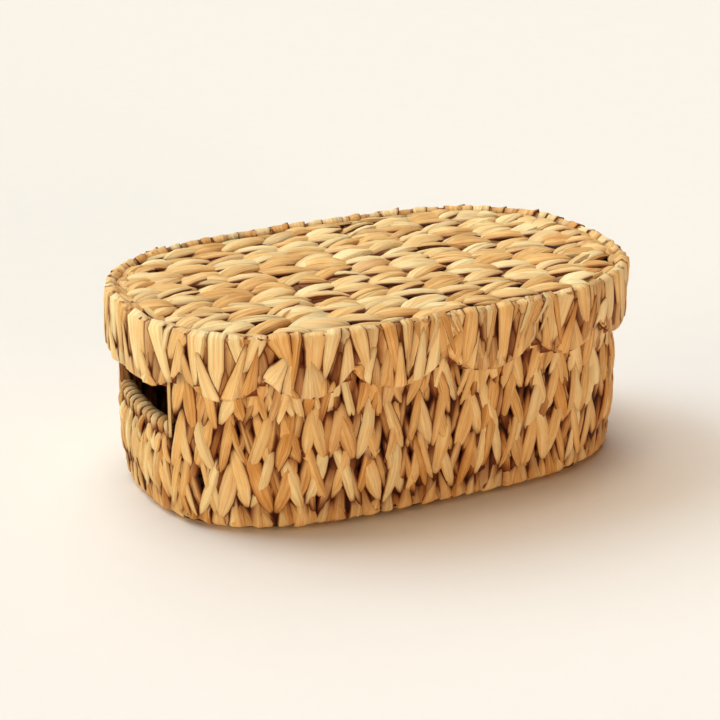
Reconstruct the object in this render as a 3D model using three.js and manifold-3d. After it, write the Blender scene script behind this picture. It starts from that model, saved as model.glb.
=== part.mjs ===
// A lidded storage basket: plant-fibre strands woven over a welded wire frame.
// Units are millimetres, +Z is up and +X runs along the basket. The origin is the
// middle of the tub's underside. The hand holes are at the two X ends.
import * as THREE from "three";
import { mergeVertices } from "three/addons/utils/BufferGeometryUtils.js";
import Module from "manifold-3d";

// Outline of the lid, seen from above: straight long sides and superelliptic ends
const LID_LENGTH = 403;
const LID_WIDTH = 251;
const END_REACH = 171.5; // how far in from the tip an end's curve starts
const END_SQUARENESS = 2.6; // 2 is an ellipse, more is squarer

// Wire frame
const WIRE = 3; // hoops, stakes, bars and posts
const RIM_WIRE = 5;
const FOOT_WIRE = 4;
const LID_RIM_WIRE = 4;
const FIT = 0.3; // running gap between a wire and the strands, or two welded wires

// Tub
const TUB_HEIGHT = 143.5;
const LID_CLEARANCE = 3.5; // between the lid's skirt and the tub, all round
const OUTER_SKIN = 1.1; // strands outside the hoops, where the wall is thinnest
const INNER_SKIN = 1.1; // strands inside the stakes
const BELLY = 2; // how far the wall swells below the skirt
const BELLY_HEIGHT = 58;
const NECK_HEIGHT = 108; // the wall is drawn in above this, to take the skirt
const FOOT_TUCK = 1.6; // how far the foot comes in from the belly
const FOOT_ROUND = 4.5;
const FLOOR_THICKNESS = 9;
const FOOT_HOOP_HEIGHT = 4.6;
const HOOP_HEIGHTS = [38, 71.5]; // the upper one is the hand holes' sill
const HEAD_HOOP_DROP = 26; // from the tub's rim to the hoop over the hand holes
const ROW_DIP = 1.8; // how far the wall dips between two rows of strands
const ROW_CREST = 14; // how much of each row lies proud, over its hoop
const RIM_ROLL_SKIN = 2.1; // strands round the rim hoop
const RIM_ROLL_HEIGHT = 9.6;
const SIDE_STAKES = 3; // on each long side, between the hand holes' stakes
const FLOOR_BARS = 5;

// Hand holes
const HANDLE_WIDTH = 100;
const HANDLE_BINDING = 2.2; // strands bound round the hole's wires
const HANDLE_PROUD = 1; // how far the binding stands off the wall
const INNER_LIP = 2.3; // the binding's width inside the wires

// Lid
const PANEL_THICKNESS = 7.8;
const RIM_RISE = 0.4; // the rim stands this far above the panel
const LID_ROLL_SKIN = 1.9; // strands round the lid's rim hoop
const SKIRT_THICKNESS = 6.4;
const SKIRT_SKIN = 1.6; // strands outside the scalloped wire
const SKIRT_DROP = 48; // from the lid's top to the scallops' tips
const END_SCALLOP = 146; // width of the scallop centred on each end, along the edge
// Widths of a long side's scallops from the left end, as bent by hand; 1 is the mean
const SIDE_SCALLOP_SHARES = [0.95, 0.9, 1.12, 1.11, 0.97, 0.95];
const SCALLOP_DEPTH = 19.5;
const EDGE_SKIN = 2; // strands under the scalloped wire
const EDGE_ROUND = 1.2;
const LID_BARS = 11;
const LID_ROWS = 9; // rows of V shapes across the lid
const QUILT_DIP = 2.8; // how far the lid's strands dip between two bars
const QUILT_SEAM = 0.8; // how far they dip between two rows
const QUILT_SKEW = 4; // how far the dips zigzag along the lid

// Facets
const TUB_STATIONS = 40;
const SIDE_STEPS = 5; // in each scallop of a long side
const END_STEPS = 10;
const WIRE_SIDES = 6;
const ROUND_STEPS = 3;

// Sizes that follow
const WIRE_R = WIRE / 2;
const LID_HEIGHT = PANEL_THICKNESS + RIM_RISE;
const TUB_EDGE = -(SKIRT_THICKNESS + LID_CLEARANCE);
const HOOP_PLANE = TUB_EDGE - OUTER_SKIN - FIT - WIRE_R;
const STAKE_PLANE = HOOP_PLANE - WIRE - FIT;
const FOOT_PLANE = (HOOP_PLANE + STAKE_PLANE) / 2;
const WALL_INSIDE = STAKE_PLANE - WIRE_R - INNER_SKIN;
const ROLL_CHANNEL_OUT = TUB_EDGE - RIM_ROLL_SKIN;
const ROLL_CHANNEL_IN = Math.min(STAKE_PLANE - WIRE_R - FIT, ROLL_CHANNEL_OUT - RIM_WIRE - 2 * FIT);
const RIM_PLANE = (ROLL_CHANNEL_OUT + ROLL_CHANNEL_IN) / 2;
const RIM_HOOP_HEIGHT = TUB_HEIGHT - RIM_ROLL_SKIN - FIT - RIM_WIRE / 2;
const LIP_TOP = RIM_HOOP_HEIGHT - RIM_WIRE / 2 - FIT;
const ROLL_BOTTOM = TUB_HEIGHT - RIM_ROLL_HEIGHT;
const HOLE_SILL_HOOP = HOOP_HEIGHTS[1];
const HOLE_HEAD_HOOP = TUB_HEIGHT - HEAD_HOOP_DROP;
const ALL_HOOP_HEIGHTS = [...HOOP_HEIGHTS, HOLE_HEAD_HOOP];
const ROW_PITCH = HOOP_HEIGHTS[1] - HOOP_HEIGHTS[0];
const BINDING_DEPTH = HANDLE_BINDING + FIT + WIRE_R;
const HOLE_STAKE = HANDLE_WIDTH / 2 + BINDING_DEPTH; // from the end's middle, along the wall
const LID_RIM_PLANE = -(LID_ROLL_SKIN + FIT + LID_RIM_WIRE / 2);
const LID_ROLL_INSIDE = 2 * LID_RIM_PLANE;
const LID_RIM_HEIGHT = LID_HEIGHT - LID_ROLL_SKIN - FIT - LID_RIM_WIRE / 2;
const SCALLOP_PLANE = -(SKIRT_SKIN + FIT + WIRE_R);
const TIP_HEIGHT = LID_HEIGHT - SKIRT_DROP;

const straw = new THREE.MeshStandardMaterial({ color: 0xcfa36a, roughness: 0.75, metalness: 0 });
const paleStraw = new THREE.MeshStandardMaterial({ color: 0xd9b47e, roughness: 0.75, metalness: 0 });
const iron = new THREE.MeshStandardMaterial({ color: 0x4a423b, roughness: 0.5, metalness: 0.8 });

const wasm = await Module();
wasm.setup();

// The outline as a closed table of places, each with its outward normal, its distance along
// the outline from the +X tip, and how far the outline has turned by there.
function outlineTable(steps = 360) {
  const centre = LID_LENGTH / 2 - END_REACH;
  const halfWidth = LID_WIDTH / 2;
  const quarter = [];
  for (let i = 0; i <= steps; i++) {
    const angle = (i / steps) * (Math.PI / 2);
    const across = Math.max(Math.cos(angle), 0) ** (2 / END_SQUARENESS);
    const along = Math.sin(angle) ** (2 / END_SQUARENESS);
    const slope = new THREE.Vector2(
      across ** (END_SQUARENESS - 1) / END_REACH,
      along ** (END_SQUARENESS - 1) / halfWidth,
    ).normalize();
    quarter.push({ x: centre + END_REACH * across, y: halfWidth * along, nx: slope.x, ny: slope.y });
  }
  const flip = (p, sx, sy) => ({ x: p.x * sx, y: p.y * sy, nx: p.nx * sx, ny: p.ny * sy });
  const backwards = [...quarter].reverse();
  const table = [
    ...quarter,
    ...backwards.map((p) => flip(p, -1, 1)),
    ...quarter.slice(1).map((p) => flip(p, -1, -1)),
    ...backwards.map((p) => flip(p, 1, -1)),
  ];
  let distance = 0;
  let turned = 0;
  table.forEach((p, i) => {
    const before = table[Math.max(i - 1, 0)];
    distance += Math.hypot(p.x - before.x, p.y - before.y);
    turned += Math.acos(Math.min(1, p.nx * before.nx + p.ny * before.ny));
    Object.assign(p, { distance, turned });
  });
  return table;
}

const outline = outlineTable();
const PERIMETER = outline[outline.length - 1].distance;
const FULL_TURN = outline[outline.length - 1].turned;

// Places on the outline where a measure, which may mix distance and turning, has the wanted values.
function stationsAt(measure, wantedValues) {
  let k = 0;
  return wantedValues.map((wanted) => {
    while (measure(outline[k + 1]) < wanted) k++;
    const from = outline[k];
    const to = outline[k + 1];
    const share = (wanted - measure(from)) / Math.max(measure(to) - measure(from), 1e-12);
    const mix = (key) => from[key] + (to[key] - from[key]) * share;
    const normal = new THREE.Vector2(mix("nx"), mix("ny")).normalize();
    return { x: mix("x"), y: mix("y"), nx: normal.x, ny: normal.y, distance: mix("distance") };
  });
}

// The tub's stations are closer together where the outline turns.
const TURN_SHARE = 0.7;
const tubStations = stationsAt(
  (p) => (TURN_SHARE * p.turned) / FULL_TURN + ((1 - TURN_SHARE) * p.distance) / PERIMETER,
  Array.from({ length: TUB_STATIONS }, (_, i) => i / TUB_STATIONS),
);

// The scallops in order, from the middle of the +X end: one at each end, the rest on the sides.
// Both long sides have the same widths from left to right. An end's scallop is flat in its
// middle and curves up at its two sides as the others do.
const MEAN_SIDE_SCALLOP = (PERIMETER / 2 - END_SCALLOP) / SIDE_SCALLOP_SHARES.length;

function sideScallops(start, shares) {
  const total = shares.reduce((sum, share) => sum + share);
  let edge = start + END_SCALLOP / 2;
  return shares.map((share) => {
    const width = (MEAN_SIDE_SCALLOP * shares.length * share) / total;
    edge += width;
    return { middle: edge - width / 2, width, flat: 0, steps: SIDE_STEPS };
  });
}

function endScallop(middle) {
  return { middle, width: END_SCALLOP, flat: END_SCALLOP - MEAN_SIDE_SCALLOP, steps: END_STEPS };
}

const scallops = [
  endScallop(0),
  ...sideScallops(0, [...SIDE_SCALLOP_SHARES].reverse()),
  endScallop(PERIMETER / 2),
  ...sideScallops(PERIMETER / 2, SIDE_SCALLOP_SHARES),
];

// The skirt's stations divide each scallop into equal steps, so every cusp is a station.
const skirtStations = stationsAt(
  (p) => p.distance,
  scallops
    .flatMap(({ middle, width, steps }) =>
      Array.from({ length: steps }, (_, i) => middle + width * (i / steps - 0.5)),
    )
    .map((distance) => (distance + PERIMETER) % PERIMETER)
    .sort((a, b) => a - b),
);

// A point on one station, offset from the outline along its normal.
function at(station, offset, height) {
  return new THREE.Vector3(station.x + station.nx * offset, station.y + station.ny * offset, height);
}

// A point between stations, on the flat facet that joins them.
function place(stations, distance, offset, height) {
  const wrapped = ((distance % PERIMETER) + PERIMETER) % PERIMETER;
  let k = stations.length - 1;
  while (stations[k].distance > wrapped) k--;
  const next = stations[(k + 1) % stations.length];
  const end = k + 1 < stations.length ? next.distance : PERIMETER;
  const share = (wrapped - stations[k].distance) / (end - stations[k].distance);
  return at(stations[k], offset, height).lerp(at(next, offset, height), share);
}

// A closed geometry from corner points and faces, turned so that its faces point outwards.
function closedGeometry(points, faces) {
  let volume = 0;
  for (const [a, b, c] of faces) {
    volume += points[a].dot(new THREE.Vector3().crossVectors(points[b], points[c]));
  }
  const turned = volume < 0 ? faces.map(([a, b, c]) => [a, c, b]) : faces;
  const geometry = new THREE.BufferGeometry().setFromPoints(points);
  geometry.setIndex(turned.flat());
  geometry.computeVertexNormals();
  return geometry;
}

// Skins a loop of sections that all have the same number of corners; the loop closes on itself.
function closedLoft(sections) {
  const corners = sections[0].length;
  const faces = [];
  sections.forEach((_, i) => {
    const here = i * corners;
    const there = ((i + 1) % sections.length) * corners;
    for (let j = 0; j < corners; j++) {
      const next = (j + 1) % corners;
      faces.push([here + j, there + j, there + next], [here + j, there + next, here + next]);
    }
  });
  return closedGeometry(sections.flat(), faces);
}

// Skins a row of sections and closes both ends with flat fans.
function cappedLoft(sections) {
  const corners = sections[0].length;
  const faces = [];
  for (let i = 0; i + 1 < sections.length; i++) {
    for (let j = 0; j < corners; j++) {
      const [a, b] = [i * corners + j, i * corners + ((j + 1) % corners)];
      faces.push([a, a + corners, b + corners], [a, b + corners, b]);
    }
  }
  const last = (sections.length - 1) * corners;
  for (let j = 1; j + 1 < corners; j++) {
    faces.push([0, j, j + 1], [last, last + j + 1, last + j]);
  }
  return closedGeometry(sections.flat(), faces);
}

// Sweeps a section round the outline; section(station) lists its corners as [offset, height].
function sweepRound(stations, section) {
  return closedLoft(stations.map((s) => section(s).map(([offset, height]) => at(s, offset, height))));
}

// A wire bent along a closed path, with its section square to the path.
function wireLoop(path, radius, sides = WIRE_SIDES) {
  const up = new THREE.Vector3(0, 0, 1);
  return closedLoft(
    path.map((point, i) => {
      const before = path[(i - 1 + path.length) % path.length];
      const after = path[(i + 1) % path.length];
      const along = new THREE.Vector3().subVectors(after, before).normalize();
      const sideways = new THREE.Vector3().crossVectors(along, up).normalize();
      const over = new THREE.Vector3().crossVectors(sideways, along);
      return Array.from({ length: sides }, (_, j) => {
        const angle = ((j + 0.5) / sides) * 2 * Math.PI;
        return point
          .clone()
          .addScaledVector(sideways, radius * Math.cos(angle))
          .addScaledVector(over, radius * Math.sin(angle));
      });
    }),
  );
}

function hoop(stations, plane, height, radius) {
  return wireLoop(stations.map((s) => at(s, plane, height)), radius);
}

// A straight wire from one point to another.
function straightWire(from, to, radius = WIRE_R) {
  const along = new THREE.Vector3().subVectors(to, from);
  const geometry = new THREE.CylinderGeometry(radius, radius, along.length(), WIRE_SIDES);
  const up = new THREE.Vector3(0, 1, 0);
  const turn = new THREE.Quaternion().setFromUnitVectors(up, along.clone().normalize());
  geometry.applyQuaternion(turn);
  const middle = from.clone().add(to).multiplyScalar(0.5);
  return geometry.translate(middle.x, middle.y, middle.z);
}

function toSolid(geometry) {
  const bare = geometry.clone();
  bare.deleteAttribute("normal");
  bare.deleteAttribute("uv");
  const merged = mergeVertices(bare, 1e-4);
  return new wasm.Manifold(
    new wasm.Mesh({
      numProp: 3,
      vertProperties: new Float32Array(merged.attributes.position.array),
      triVerts: new Uint32Array(merged.index.array),
    }),
  );
}

function toGeometry(solid) {
  const mesh = solid.getMesh();
  const geometry = new THREE.BufferGeometry();
  geometry.setAttribute("position", new THREE.BufferAttribute(mesh.vertProperties, 3));
  geometry.setIndex(new THREE.BufferAttribute(mesh.triVerts, 1));
  geometry.computeVertexNormals();
  return geometry;
}

// The part of a geometry that lies inside another.
function within(geometry, keeper) {
  return toGeometry(toSolid(geometry).intersect(toSolid(keeper)));
}

function cut(geometry, cutters) {
  return toGeometry(cutters.reduce((solid, cutter) => solid.subtract(toSolid(cutter)), toSolid(geometry)));
}

// How far the tub's outside stands from the lid's outline at a height: the foot is tucked in,
// the belly swells, and the neck is drawn in under the skirt.
function tubOuter(height) {
  if (height >= NECK_HEIGHT) return TUB_EDGE;
  if (height >= BELLY_HEIGHT) {
    const share = (NECK_HEIGHT - height) / (NECK_HEIGHT - BELLY_HEIGHT);
    return TUB_EDGE + BELLY * Math.sin((share * Math.PI) / 2);
  }
  const share = (BELLY_HEIGHT - height) / BELLY_HEIGHT;
  return TUB_EDGE + BELLY - FOOT_TUCK * share * share;
}

// A groove in a wall's inner face, as corners going down the face.
function groove(face, bottom, height, halfHeight) {
  return [
    [face, height + halfHeight],
    [bottom, height + halfHeight],
    [bottom, height - halfHeight],
    [face, height - halfHeight],
  ];
}

// A slot for an upright wire, cut from the inner face of a ring; its open side faces inwards.
function uprightSlot(stations, distance, plane, depth, low, high) {
  const outer = place(stations, distance, plane + WIRE_R + FIT, 0);
  const inner = place(stations, distance, plane - depth, 0);
  const radial = new THREE.Vector3().subVectors(outer, inner);
  const box = new THREE.BoxGeometry(radial.length(), WIRE + 2 * FIT, high - low);
  box.rotateZ(Math.atan2(radial.y, radial.x));
  return box.translate((outer.x + inner.x) / 2, (outer.y + inner.y) / 2, (low + high) / 2);
}

// The wall: strands woven over the hoops, with channels where the hoops and stakes run.
function wallSection() {
  const outside = [[TUB_EDGE + BELLY - FOOT_TUCK - FOOT_ROUND, 0]];
  for (let i = 1; i <= ROUND_STEPS; i++) {
    const angle = (i / ROUND_STEPS) * (Math.PI / 2);
    outside.push([
      tubOuter(FOOT_ROUND) - FOOT_ROUND * (1 - Math.sin(angle)),
      FOOT_ROUND * (1 - Math.cos(angle)),
    ]);
  }
  // Each row of strands lies proud over its hoop, and the wall dips below it.
  for (let crest = HOOP_HEIGHTS[0]; crest - ROW_CREST / 2 < NECK_HEIGHT; crest += ROW_PITCH) {
    const dip = crest - ROW_PITCH / 2;
    const crestTop = Math.min(crest + ROW_CREST / 2, NECK_HEIGHT);
    outside.push([tubOuter(dip) - ROW_DIP, dip]);
    outside.push(...[crest - ROW_CREST / 2, crestTop].map((height) => [tubOuter(height), height]));
  }
  const lip = [
    [TUB_EDGE, ROLL_BOTTOM - FIT],
    [ROLL_CHANNEL_OUT - FIT, ROLL_BOTTOM - FIT],
    [ROLL_CHANNEL_OUT - FIT, LIP_TOP],
    [ROLL_CHANNEL_IN + FIT, LIP_TOP],
    [ROLL_CHANNEL_IN + FIT, ROLL_BOTTOM - FIT],
    [WALL_INSIDE, ROLL_BOTTOM - FIT],
  ];
  const grooveFloor = HOOP_PLANE + WIRE_R + FIT;
  const inside = [...ALL_HOOP_HEIGHTS]
    .sort((a, b) => b - a)
    .flatMap((height) => groove(WALL_INSIDE, grooveFloor, height, WIRE_R + FIT));
  const foot = groove(WALL_INSIDE, FOOT_PLANE + FOOT_WIRE / 2 + FIT, FOOT_HOOP_HEIGHT, FOOT_WIRE / 2 + FIT);
  return [...outside, ...lip, ...inside, ...foot, [WALL_INSIDE, 0]];
}

// The places along the wall of the hole's own corners and of the facets between them.
function holeColumns(middle, halfWidth) {
  const nearby = [-PERIMETER, 0, PERIMETER]
    .flatMap((shift) => tubStations.map((s) => s.distance + shift))
    .filter((d) => Math.abs(d - middle) < halfWidth - FIT)
    .sort((a, b) => a - b);
  return [middle - halfWidth, ...nearby, middle + halfWidth];
}

// The block cut out of the wall for a hand hole, down to the middles of the wires around it.
function holeCutter(middle) {
  const sections = holeColumns(middle, HOLE_STAKE).map((d) => [
    place(tubStations, d, 2 * WALL_INSIDE, HOLE_SILL_HOOP),
    place(tubStations, d, -TUB_EDGE, HOLE_SILL_HOOP),
    place(tubStations, d, -TUB_EDGE, HOLE_HEAD_HOOP),
    place(tubStations, d, 2 * WALL_INSIDE, HOLE_HEAD_HOOP),
  ]);
  return cappedLoft(sections);
}

// The binding that lines a hand hole: a channel bound over the hoops and stakes round the hole.
function handleBinding(middle) {
  const clearLow = HOLE_SILL_HOOP + BINDING_DEPTH;
  const clearHigh = HOLE_HEAD_HOOP - BINDING_DEPTH;
  const channelOut = HOOP_PLANE + WIRE_R + FIT;
  const channelIn = STAKE_PLANE - WIRE_R - FIT;
  const leg = BINDING_DEPTH - FIT;
  const standOff = (height) => {
    const share = (clearHigh - height) / (clearHigh - clearLow);
    return tubOuter(height) + HANDLE_PROUD * THREE.MathUtils.clamp(share, 0, 1);
  };
  // Corners of the section, as [out from the clear hole, offset]; null stands for the outer face.
  const corners = [
    [0, null],
    [leg, null],
    [leg, channelOut],
    [HANDLE_BINDING, channelOut],
    [HANDLE_BINDING, channelIn],
    [leg, channelIn],
    [leg, channelIn - INNER_LIP],
    [0, channelIn - INNER_LIP],
  ];
  const columns = holeColumns(middle, HANDLE_WIDTH / 2);
  const low = columns.map((d) => ({ d, side: 0, end: -1 }));
  const high = [...columns].reverse().map((d) => ({ d, side: 0, end: 1 }));
  low[0].side = -1;
  low[low.length - 1].side = 1;
  high[0].side = 1;
  high[high.length - 1].side = -1;
  const sections = [...low, ...high].map(({ d, side, end }) =>
    corners.map(([out, offset]) => {
      const height = end < 0 ? clearLow - out : clearHigh + out;
      return place(tubStations, d + side * out, offset ?? standOff(height), height);
    }),
  );
  return closedLoft(sections);
}

// The strands wound over the rim hoop: an arch that straddles the wall's lip.
function rimRollSection() {
  const inside = ROLL_CHANNEL_IN - RIM_ROLL_SKIN;
  const middle = (TUB_EDGE + inside) / 2;
  const half = (TUB_EDGE - inside) / 2;
  const round = Math.min(half, RIM_ROLL_HEIGHT / 2) * 0.8;
  const corner = (side, share) => [
    middle + side * (half - round * (1 - Math.cos(share * (Math.PI / 2)))),
    TUB_HEIGHT - round * (1 - Math.sin(share * (Math.PI / 2))),
  ];
  const steps = [0, 0.5, 1];
  return [
    [TUB_EDGE, ROLL_BOTTOM],
    ...steps.map((share) => corner(1, share)),
    ...[...steps].reverse().map((share) => corner(-1, share)),
    [inside, ROLL_BOTTOM],
    [ROLL_CHANNEL_IN, ROLL_BOTTOM],
    [ROLL_CHANNEL_IN, TUB_HEIGHT - RIM_ROLL_SKIN],
    [ROLL_CHANNEL_OUT, TUB_HEIGHT - RIM_ROLL_SKIN],
    [ROLL_CHANNEL_OUT, ROLL_BOTTOM],
  ];
}

// A flat woven panel with the outline's shape, offset inwards.
function panel(stations, offset, thickness) {
  const edge = stations.map((s) => at(s, offset, 0)).map(({ x, y }) => new THREE.Vector2(x, y));
  return new THREE.ExtrudeGeometry(new THREE.Shape(edge), { depth: thickness, bevelEnabled: false });
}

// Half the outline's width at a place along it, on the facets of an offset outline.
function halfWidthAt(stations, offset, x) {
  for (let i = 0; i < stations.length; i++) {
    const a = at(stations[i], offset, 0);
    const b = at(stations[(i + 1) % stations.length], offset, 0);
    if (a.y + b.y > 0 && (a.x - x) * (b.x - x) <= 0 && a.x !== b.x) {
      return a.y + ((b.y - a.y) * (x - a.x)) / (b.x - a.x);
    }
  }
  return 0;
}

// Bars that cross a panel, evenly spread; each stops short of the hoop it is welded to.
function crossBars(stations, count, hoopInside, height) {
  const reach = LID_LENGTH / 2 + hoopInside;
  const pitch = (2 * reach) / (count + 1);
  return Array.from({ length: count }, (_, i) => {
    const x = (i - (count - 1) / 2) * pitch;
    const half = Math.min(
      halfWidthAt(stations, hoopInside - FIT, x - WIRE_R),
      halfWidthAt(stations, hoopInside - FIT, x + WIRE_R),
    );
    const wire = straightWire(new THREE.Vector3(x, -half, height), new THREE.Vector3(x, half, height));
    return { x, wire };
  });
}

// A block as wide as the lid whose top is quilted as the weave is: the strands lie proud over
// the bars and dip between them, and the rows meet in seams.
function quiltedBlock(barPlaces, thickness) {
  const pitch = barPlaces[1] - barPlaces[0];
  const halfWidth = LID_WIDTH / 2 + LID_ROLL_INSIDE;
  const column = (x, skew, dip) => {
    const top = Array.from({ length: 2 * LID_ROWS + 1 }, (_, j) => {
      const onSeam = j % 2 === 0;
      const height = thickness - dip - (onSeam ? QUILT_SEAM : 0);
      return new THREE.Vector3(x + (onSeam ? -skew : skew), (j / LID_ROWS - 1) * halfWidth, height);
    });
    const foot = (y) => new THREE.Vector3(x, y, 0);
    return [foot(-halfWidth), ...top, foot(halfWidth)];
  };
  const between = [barPlaces[0] - pitch, ...barPlaces].map((x) => x + pitch / 2);
  const ends = [barPlaces[0] - pitch, barPlaces[barPlaces.length - 1] + pitch];
  return cappedLoft([
    column(ends[0], 0, 0),
    ...between.flatMap((x, i) => {
      const dip = column(x, QUILT_SKEW, QUILT_DIP);
      return i < barPlaces.length ? [dip, column(barPlaces[i], 0, 0)] : [dip];
    }),
    column(ends[1], 0, 0),
  ]);
}

function barGroove(x, low, high) {
  const box = new THREE.BoxGeometry(WIRE + 2 * FIT, LID_WIDTH, high - low);
  return box.translate(x, 0, (low + high) / 2);
}

// The scallop at a place along the edge, and how far the place is from its middle.
function scallopAt(distance) {
  const fromMiddle = ({ middle }) => {
    const apart = Math.abs(distance - middle) % PERIMETER;
    return Math.min(apart, PERIMETER - apart);
  };
  const scallop = scallops.reduce((best, other) => {
    const outside = (s) => fromMiddle(s) - s.width / 2;
    return outside(other) < outside(best) ? other : best;
  });
  return { ...scallop, fromMiddle: Math.min(fromMiddle(scallop), scallop.width / 2) };
}

// Height of the skirt's lower edge: a row of circular arcs that meet in cusps.
function edgeHeight(distance) {
  const { width, flat, fromMiddle } = scallopAt(distance);
  const half = (width - flat) / 2;
  const radius = (half * half + SCALLOP_DEPTH * SCALLOP_DEPTH) / (2 * SCALLOP_DEPTH);
  const x = Math.max(fromMiddle - flat / 2, 0);
  return TIP_HEIGHT + radius - Math.sqrt(radius * radius - x * x);
}

// How much taller than the wire its groove is, where the edge slopes.
function slopeStretch(distance) {
  const { width, steps } = scallopAt(distance);
  const step = width / steps;
  const here = edgeHeight(distance);
  const rise = Math.max(
    Math.abs(edgeHeight(distance + step) - here),
    Math.abs(edgeHeight(distance - step) - here),
  );
  return Math.hypot(rise, step) / step;
}

const halfScallopGroove = (distance) => (WIRE_R + FIT) * slopeStretch(distance);
const scallopWireHeight = (distance) => edgeHeight(distance) + EDGE_SKIN + halfScallopGroove(distance);

// The skirt: strands folded over the lid's rim hoop, hanging to the scalloped wire and round it.
function skirtSection(station) {
  const edge = edgeHeight(station.distance);
  const wire = scallopWireHeight(station.distance);
  const roll = -LID_RIM_PLANE;
  const hoopGroove = LID_RIM_WIRE / 2 + FIT;
  return [
    [-EDGE_ROUND, edge],
    [0, edge + EDGE_ROUND],
    [0, LID_HEIGHT - roll],
    [-roll * 0.3, LID_HEIGHT - roll * 0.3],
    [-roll, LID_HEIGHT],
    [-roll * 1.7, LID_HEIGHT - roll * 0.12],
    [LID_ROLL_INSIDE, LID_HEIGHT - roll * 0.3],
    ...groove(LID_ROLL_INSIDE, -LID_ROLL_SKIN, LID_RIM_HEIGHT, hoopGroove),
    [LID_ROLL_INSIDE, 0],
    [-SKIRT_THICKNESS, -FIT],
    ...groove(-SKIRT_THICKNESS, -SKIRT_SKIN, wire, halfScallopGroove(station.distance)),
    [-SKIRT_THICKNESS, edge + EDGE_ROUND],
    [EDGE_ROUND - SKIRT_THICKNESS, edge],
  ];
}

const basket = new THREE.Group();
const tub = new THREE.Group();
const lid = new THREE.Group();
lid.position.z = TUB_HEIGHT + FIT;
basket.add(tub, lid);

function add(group, name, geometry, material) {
  const mesh = new THREE.Mesh(geometry, material);
  mesh.name = name;
  group.add(mesh);
}

// Tub: hoops
add(tub, "tub_foot_hoop", hoop(tubStations, FOOT_PLANE, FOOT_HOOP_HEIGHT, FOOT_WIRE / 2), iron);
["tub_lower_hoop", "tub_middle_hoop", "tub_upper_hoop"].forEach((name, i) => {
  add(tub, name, hoop(tubStations, HOOP_PLANE, ALL_HOOP_HEIGHTS[i], WIRE_R), iron);
});
add(tub, "tub_rim_hoop", hoop(tubStations, RIM_PLANE, RIM_HOOP_HEIGHT, RIM_WIRE / 2), iron);

// Tub: upright stakes, one each side of both hand holes and the rest spread along the long sides
const stakeLow = FOOT_HOOP_HEIGHT + FOOT_WIRE / 2 + FIT;
const stakeHigh = RIM_HOOP_HEIGHT - RIM_WIRE / 2 - FIT;
const stakeRun = PERIMETER / 2 - 2 * HOLE_STAKE;
const stakePlaces = [0, PERIMETER / 2].flatMap((start) =>
  Array.from({ length: SIDE_STAKES + 2 }, (_, i) => start + HOLE_STAKE + (stakeRun * i) / (SIDE_STAKES + 1)),
);
const shortPlaces = { right: 0, left: PERIMETER / 2 };
stakePlaces.forEach((distance, i) => {
  const foot = place(tubStations, distance, STAKE_PLANE, stakeLow);
  const top = place(tubStations, distance, STAKE_PLANE, stakeHigh);
  add(tub, `tub_stake_${i + 1}`, straightWire(foot, top), iron);
});
Object.entries(shortPlaces).forEach(([side, distance]) => {
  const foot = place(tubStations, distance, STAKE_PLANE, stakeLow);
  const top = place(tubStations, distance, STAKE_PLANE, HOLE_SILL_HOOP - FIT);
  add(tub, `${side}_handle_short_stake`, straightWire(foot, top), iron);
});

// Tub: wall, rim roll and bound hand holes
const SLOT_RUN = 2 * (INNER_SKIN + WIRE_R);
const wallCutters = [
  ...stakePlaces.map((d) => uprightSlot(tubStations, d, STAKE_PLANE, SLOT_RUN, stakeLow - FIT, TUB_HEIGHT)),
  ...Object.values(shortPlaces).map((d) =>
    uprightSlot(tubStations, d, STAKE_PLANE, SLOT_RUN, stakeLow - FIT, HOLE_SILL_HOOP + WIRE_R),
  ),
  ...Object.values(shortPlaces).map((d) => holeCutter(d)),
];
add(tub, "tub_wall_weave", cut(sweepRound(tubStations, wallSection), wallCutters), straw);
add(tub, "tub_rim_roll", sweepRound(tubStations, rimRollSection), paleStraw);
Object.entries(shortPlaces).forEach(([side, distance]) => {
  add(tub, `${side}_handle_binding`, handleBinding(distance), paleStraw);
});

// Tub: floor
const floorBars = crossBars(tubStations, FLOOR_BARS, FOOT_PLANE - FOOT_WIRE / 2, FOOT_HOOP_HEIGHT);
floorBars.forEach(({ wire }, i) => add(tub, `tub_floor_bar_${i + 1}`, wire, iron));
const floorCutters = floorBars.map(({ x }) =>
  barGroove(x, FOOT_HOOP_HEIGHT - WIRE_R - FIT, FLOOR_THICKNESS + WIRE),
);
add(tub, "tub_floor_weave", cut(panel(tubStations, WALL_INSIDE - FIT, FLOOR_THICKNESS), floorCutters), straw);

// Lid: its own frame starts at the panel's underside
const everyOther = skirtStations.filter((_, i) => i % 2 === 0);
add(lid, "lid_rim_hoop", hoop(everyOther, LID_RIM_PLANE, LID_RIM_HEIGHT, LID_RIM_WIRE / 2), iron);
const scallopPath = skirtStations.map((s) => at(s, SCALLOP_PLANE, scallopWireHeight(s.distance)));
add(lid, "lid_scalloped_hoop", wireLoop(scallopPath, WIRE_R), iron);

const lidBars = crossBars(everyOther, LID_BARS, LID_RIM_PLANE - LID_RIM_WIRE / 2, LID_RIM_HEIGHT);
lidBars.forEach(({ wire }, i) => add(lid, `lid_bar_${i + 1}`, wire, iron));
const lidBarCutters = lidBars.map(({ x }) => barGroove(x, -WIRE, LID_RIM_HEIGHT + WIRE_R + FIT));
const quilt = quiltedBlock(lidBars.map(({ x }) => x), PANEL_THICKNESS);
const lidShape = panel(everyOther, LID_ROLL_INSIDE - FIT, 3 * PANEL_THICKNESS);
lidShape.translate(0, 0, -PANEL_THICKNESS);
add(lid, "lid_top_weave", cut(within(quilt, lidShape), lidBarCutters), straw);

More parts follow.
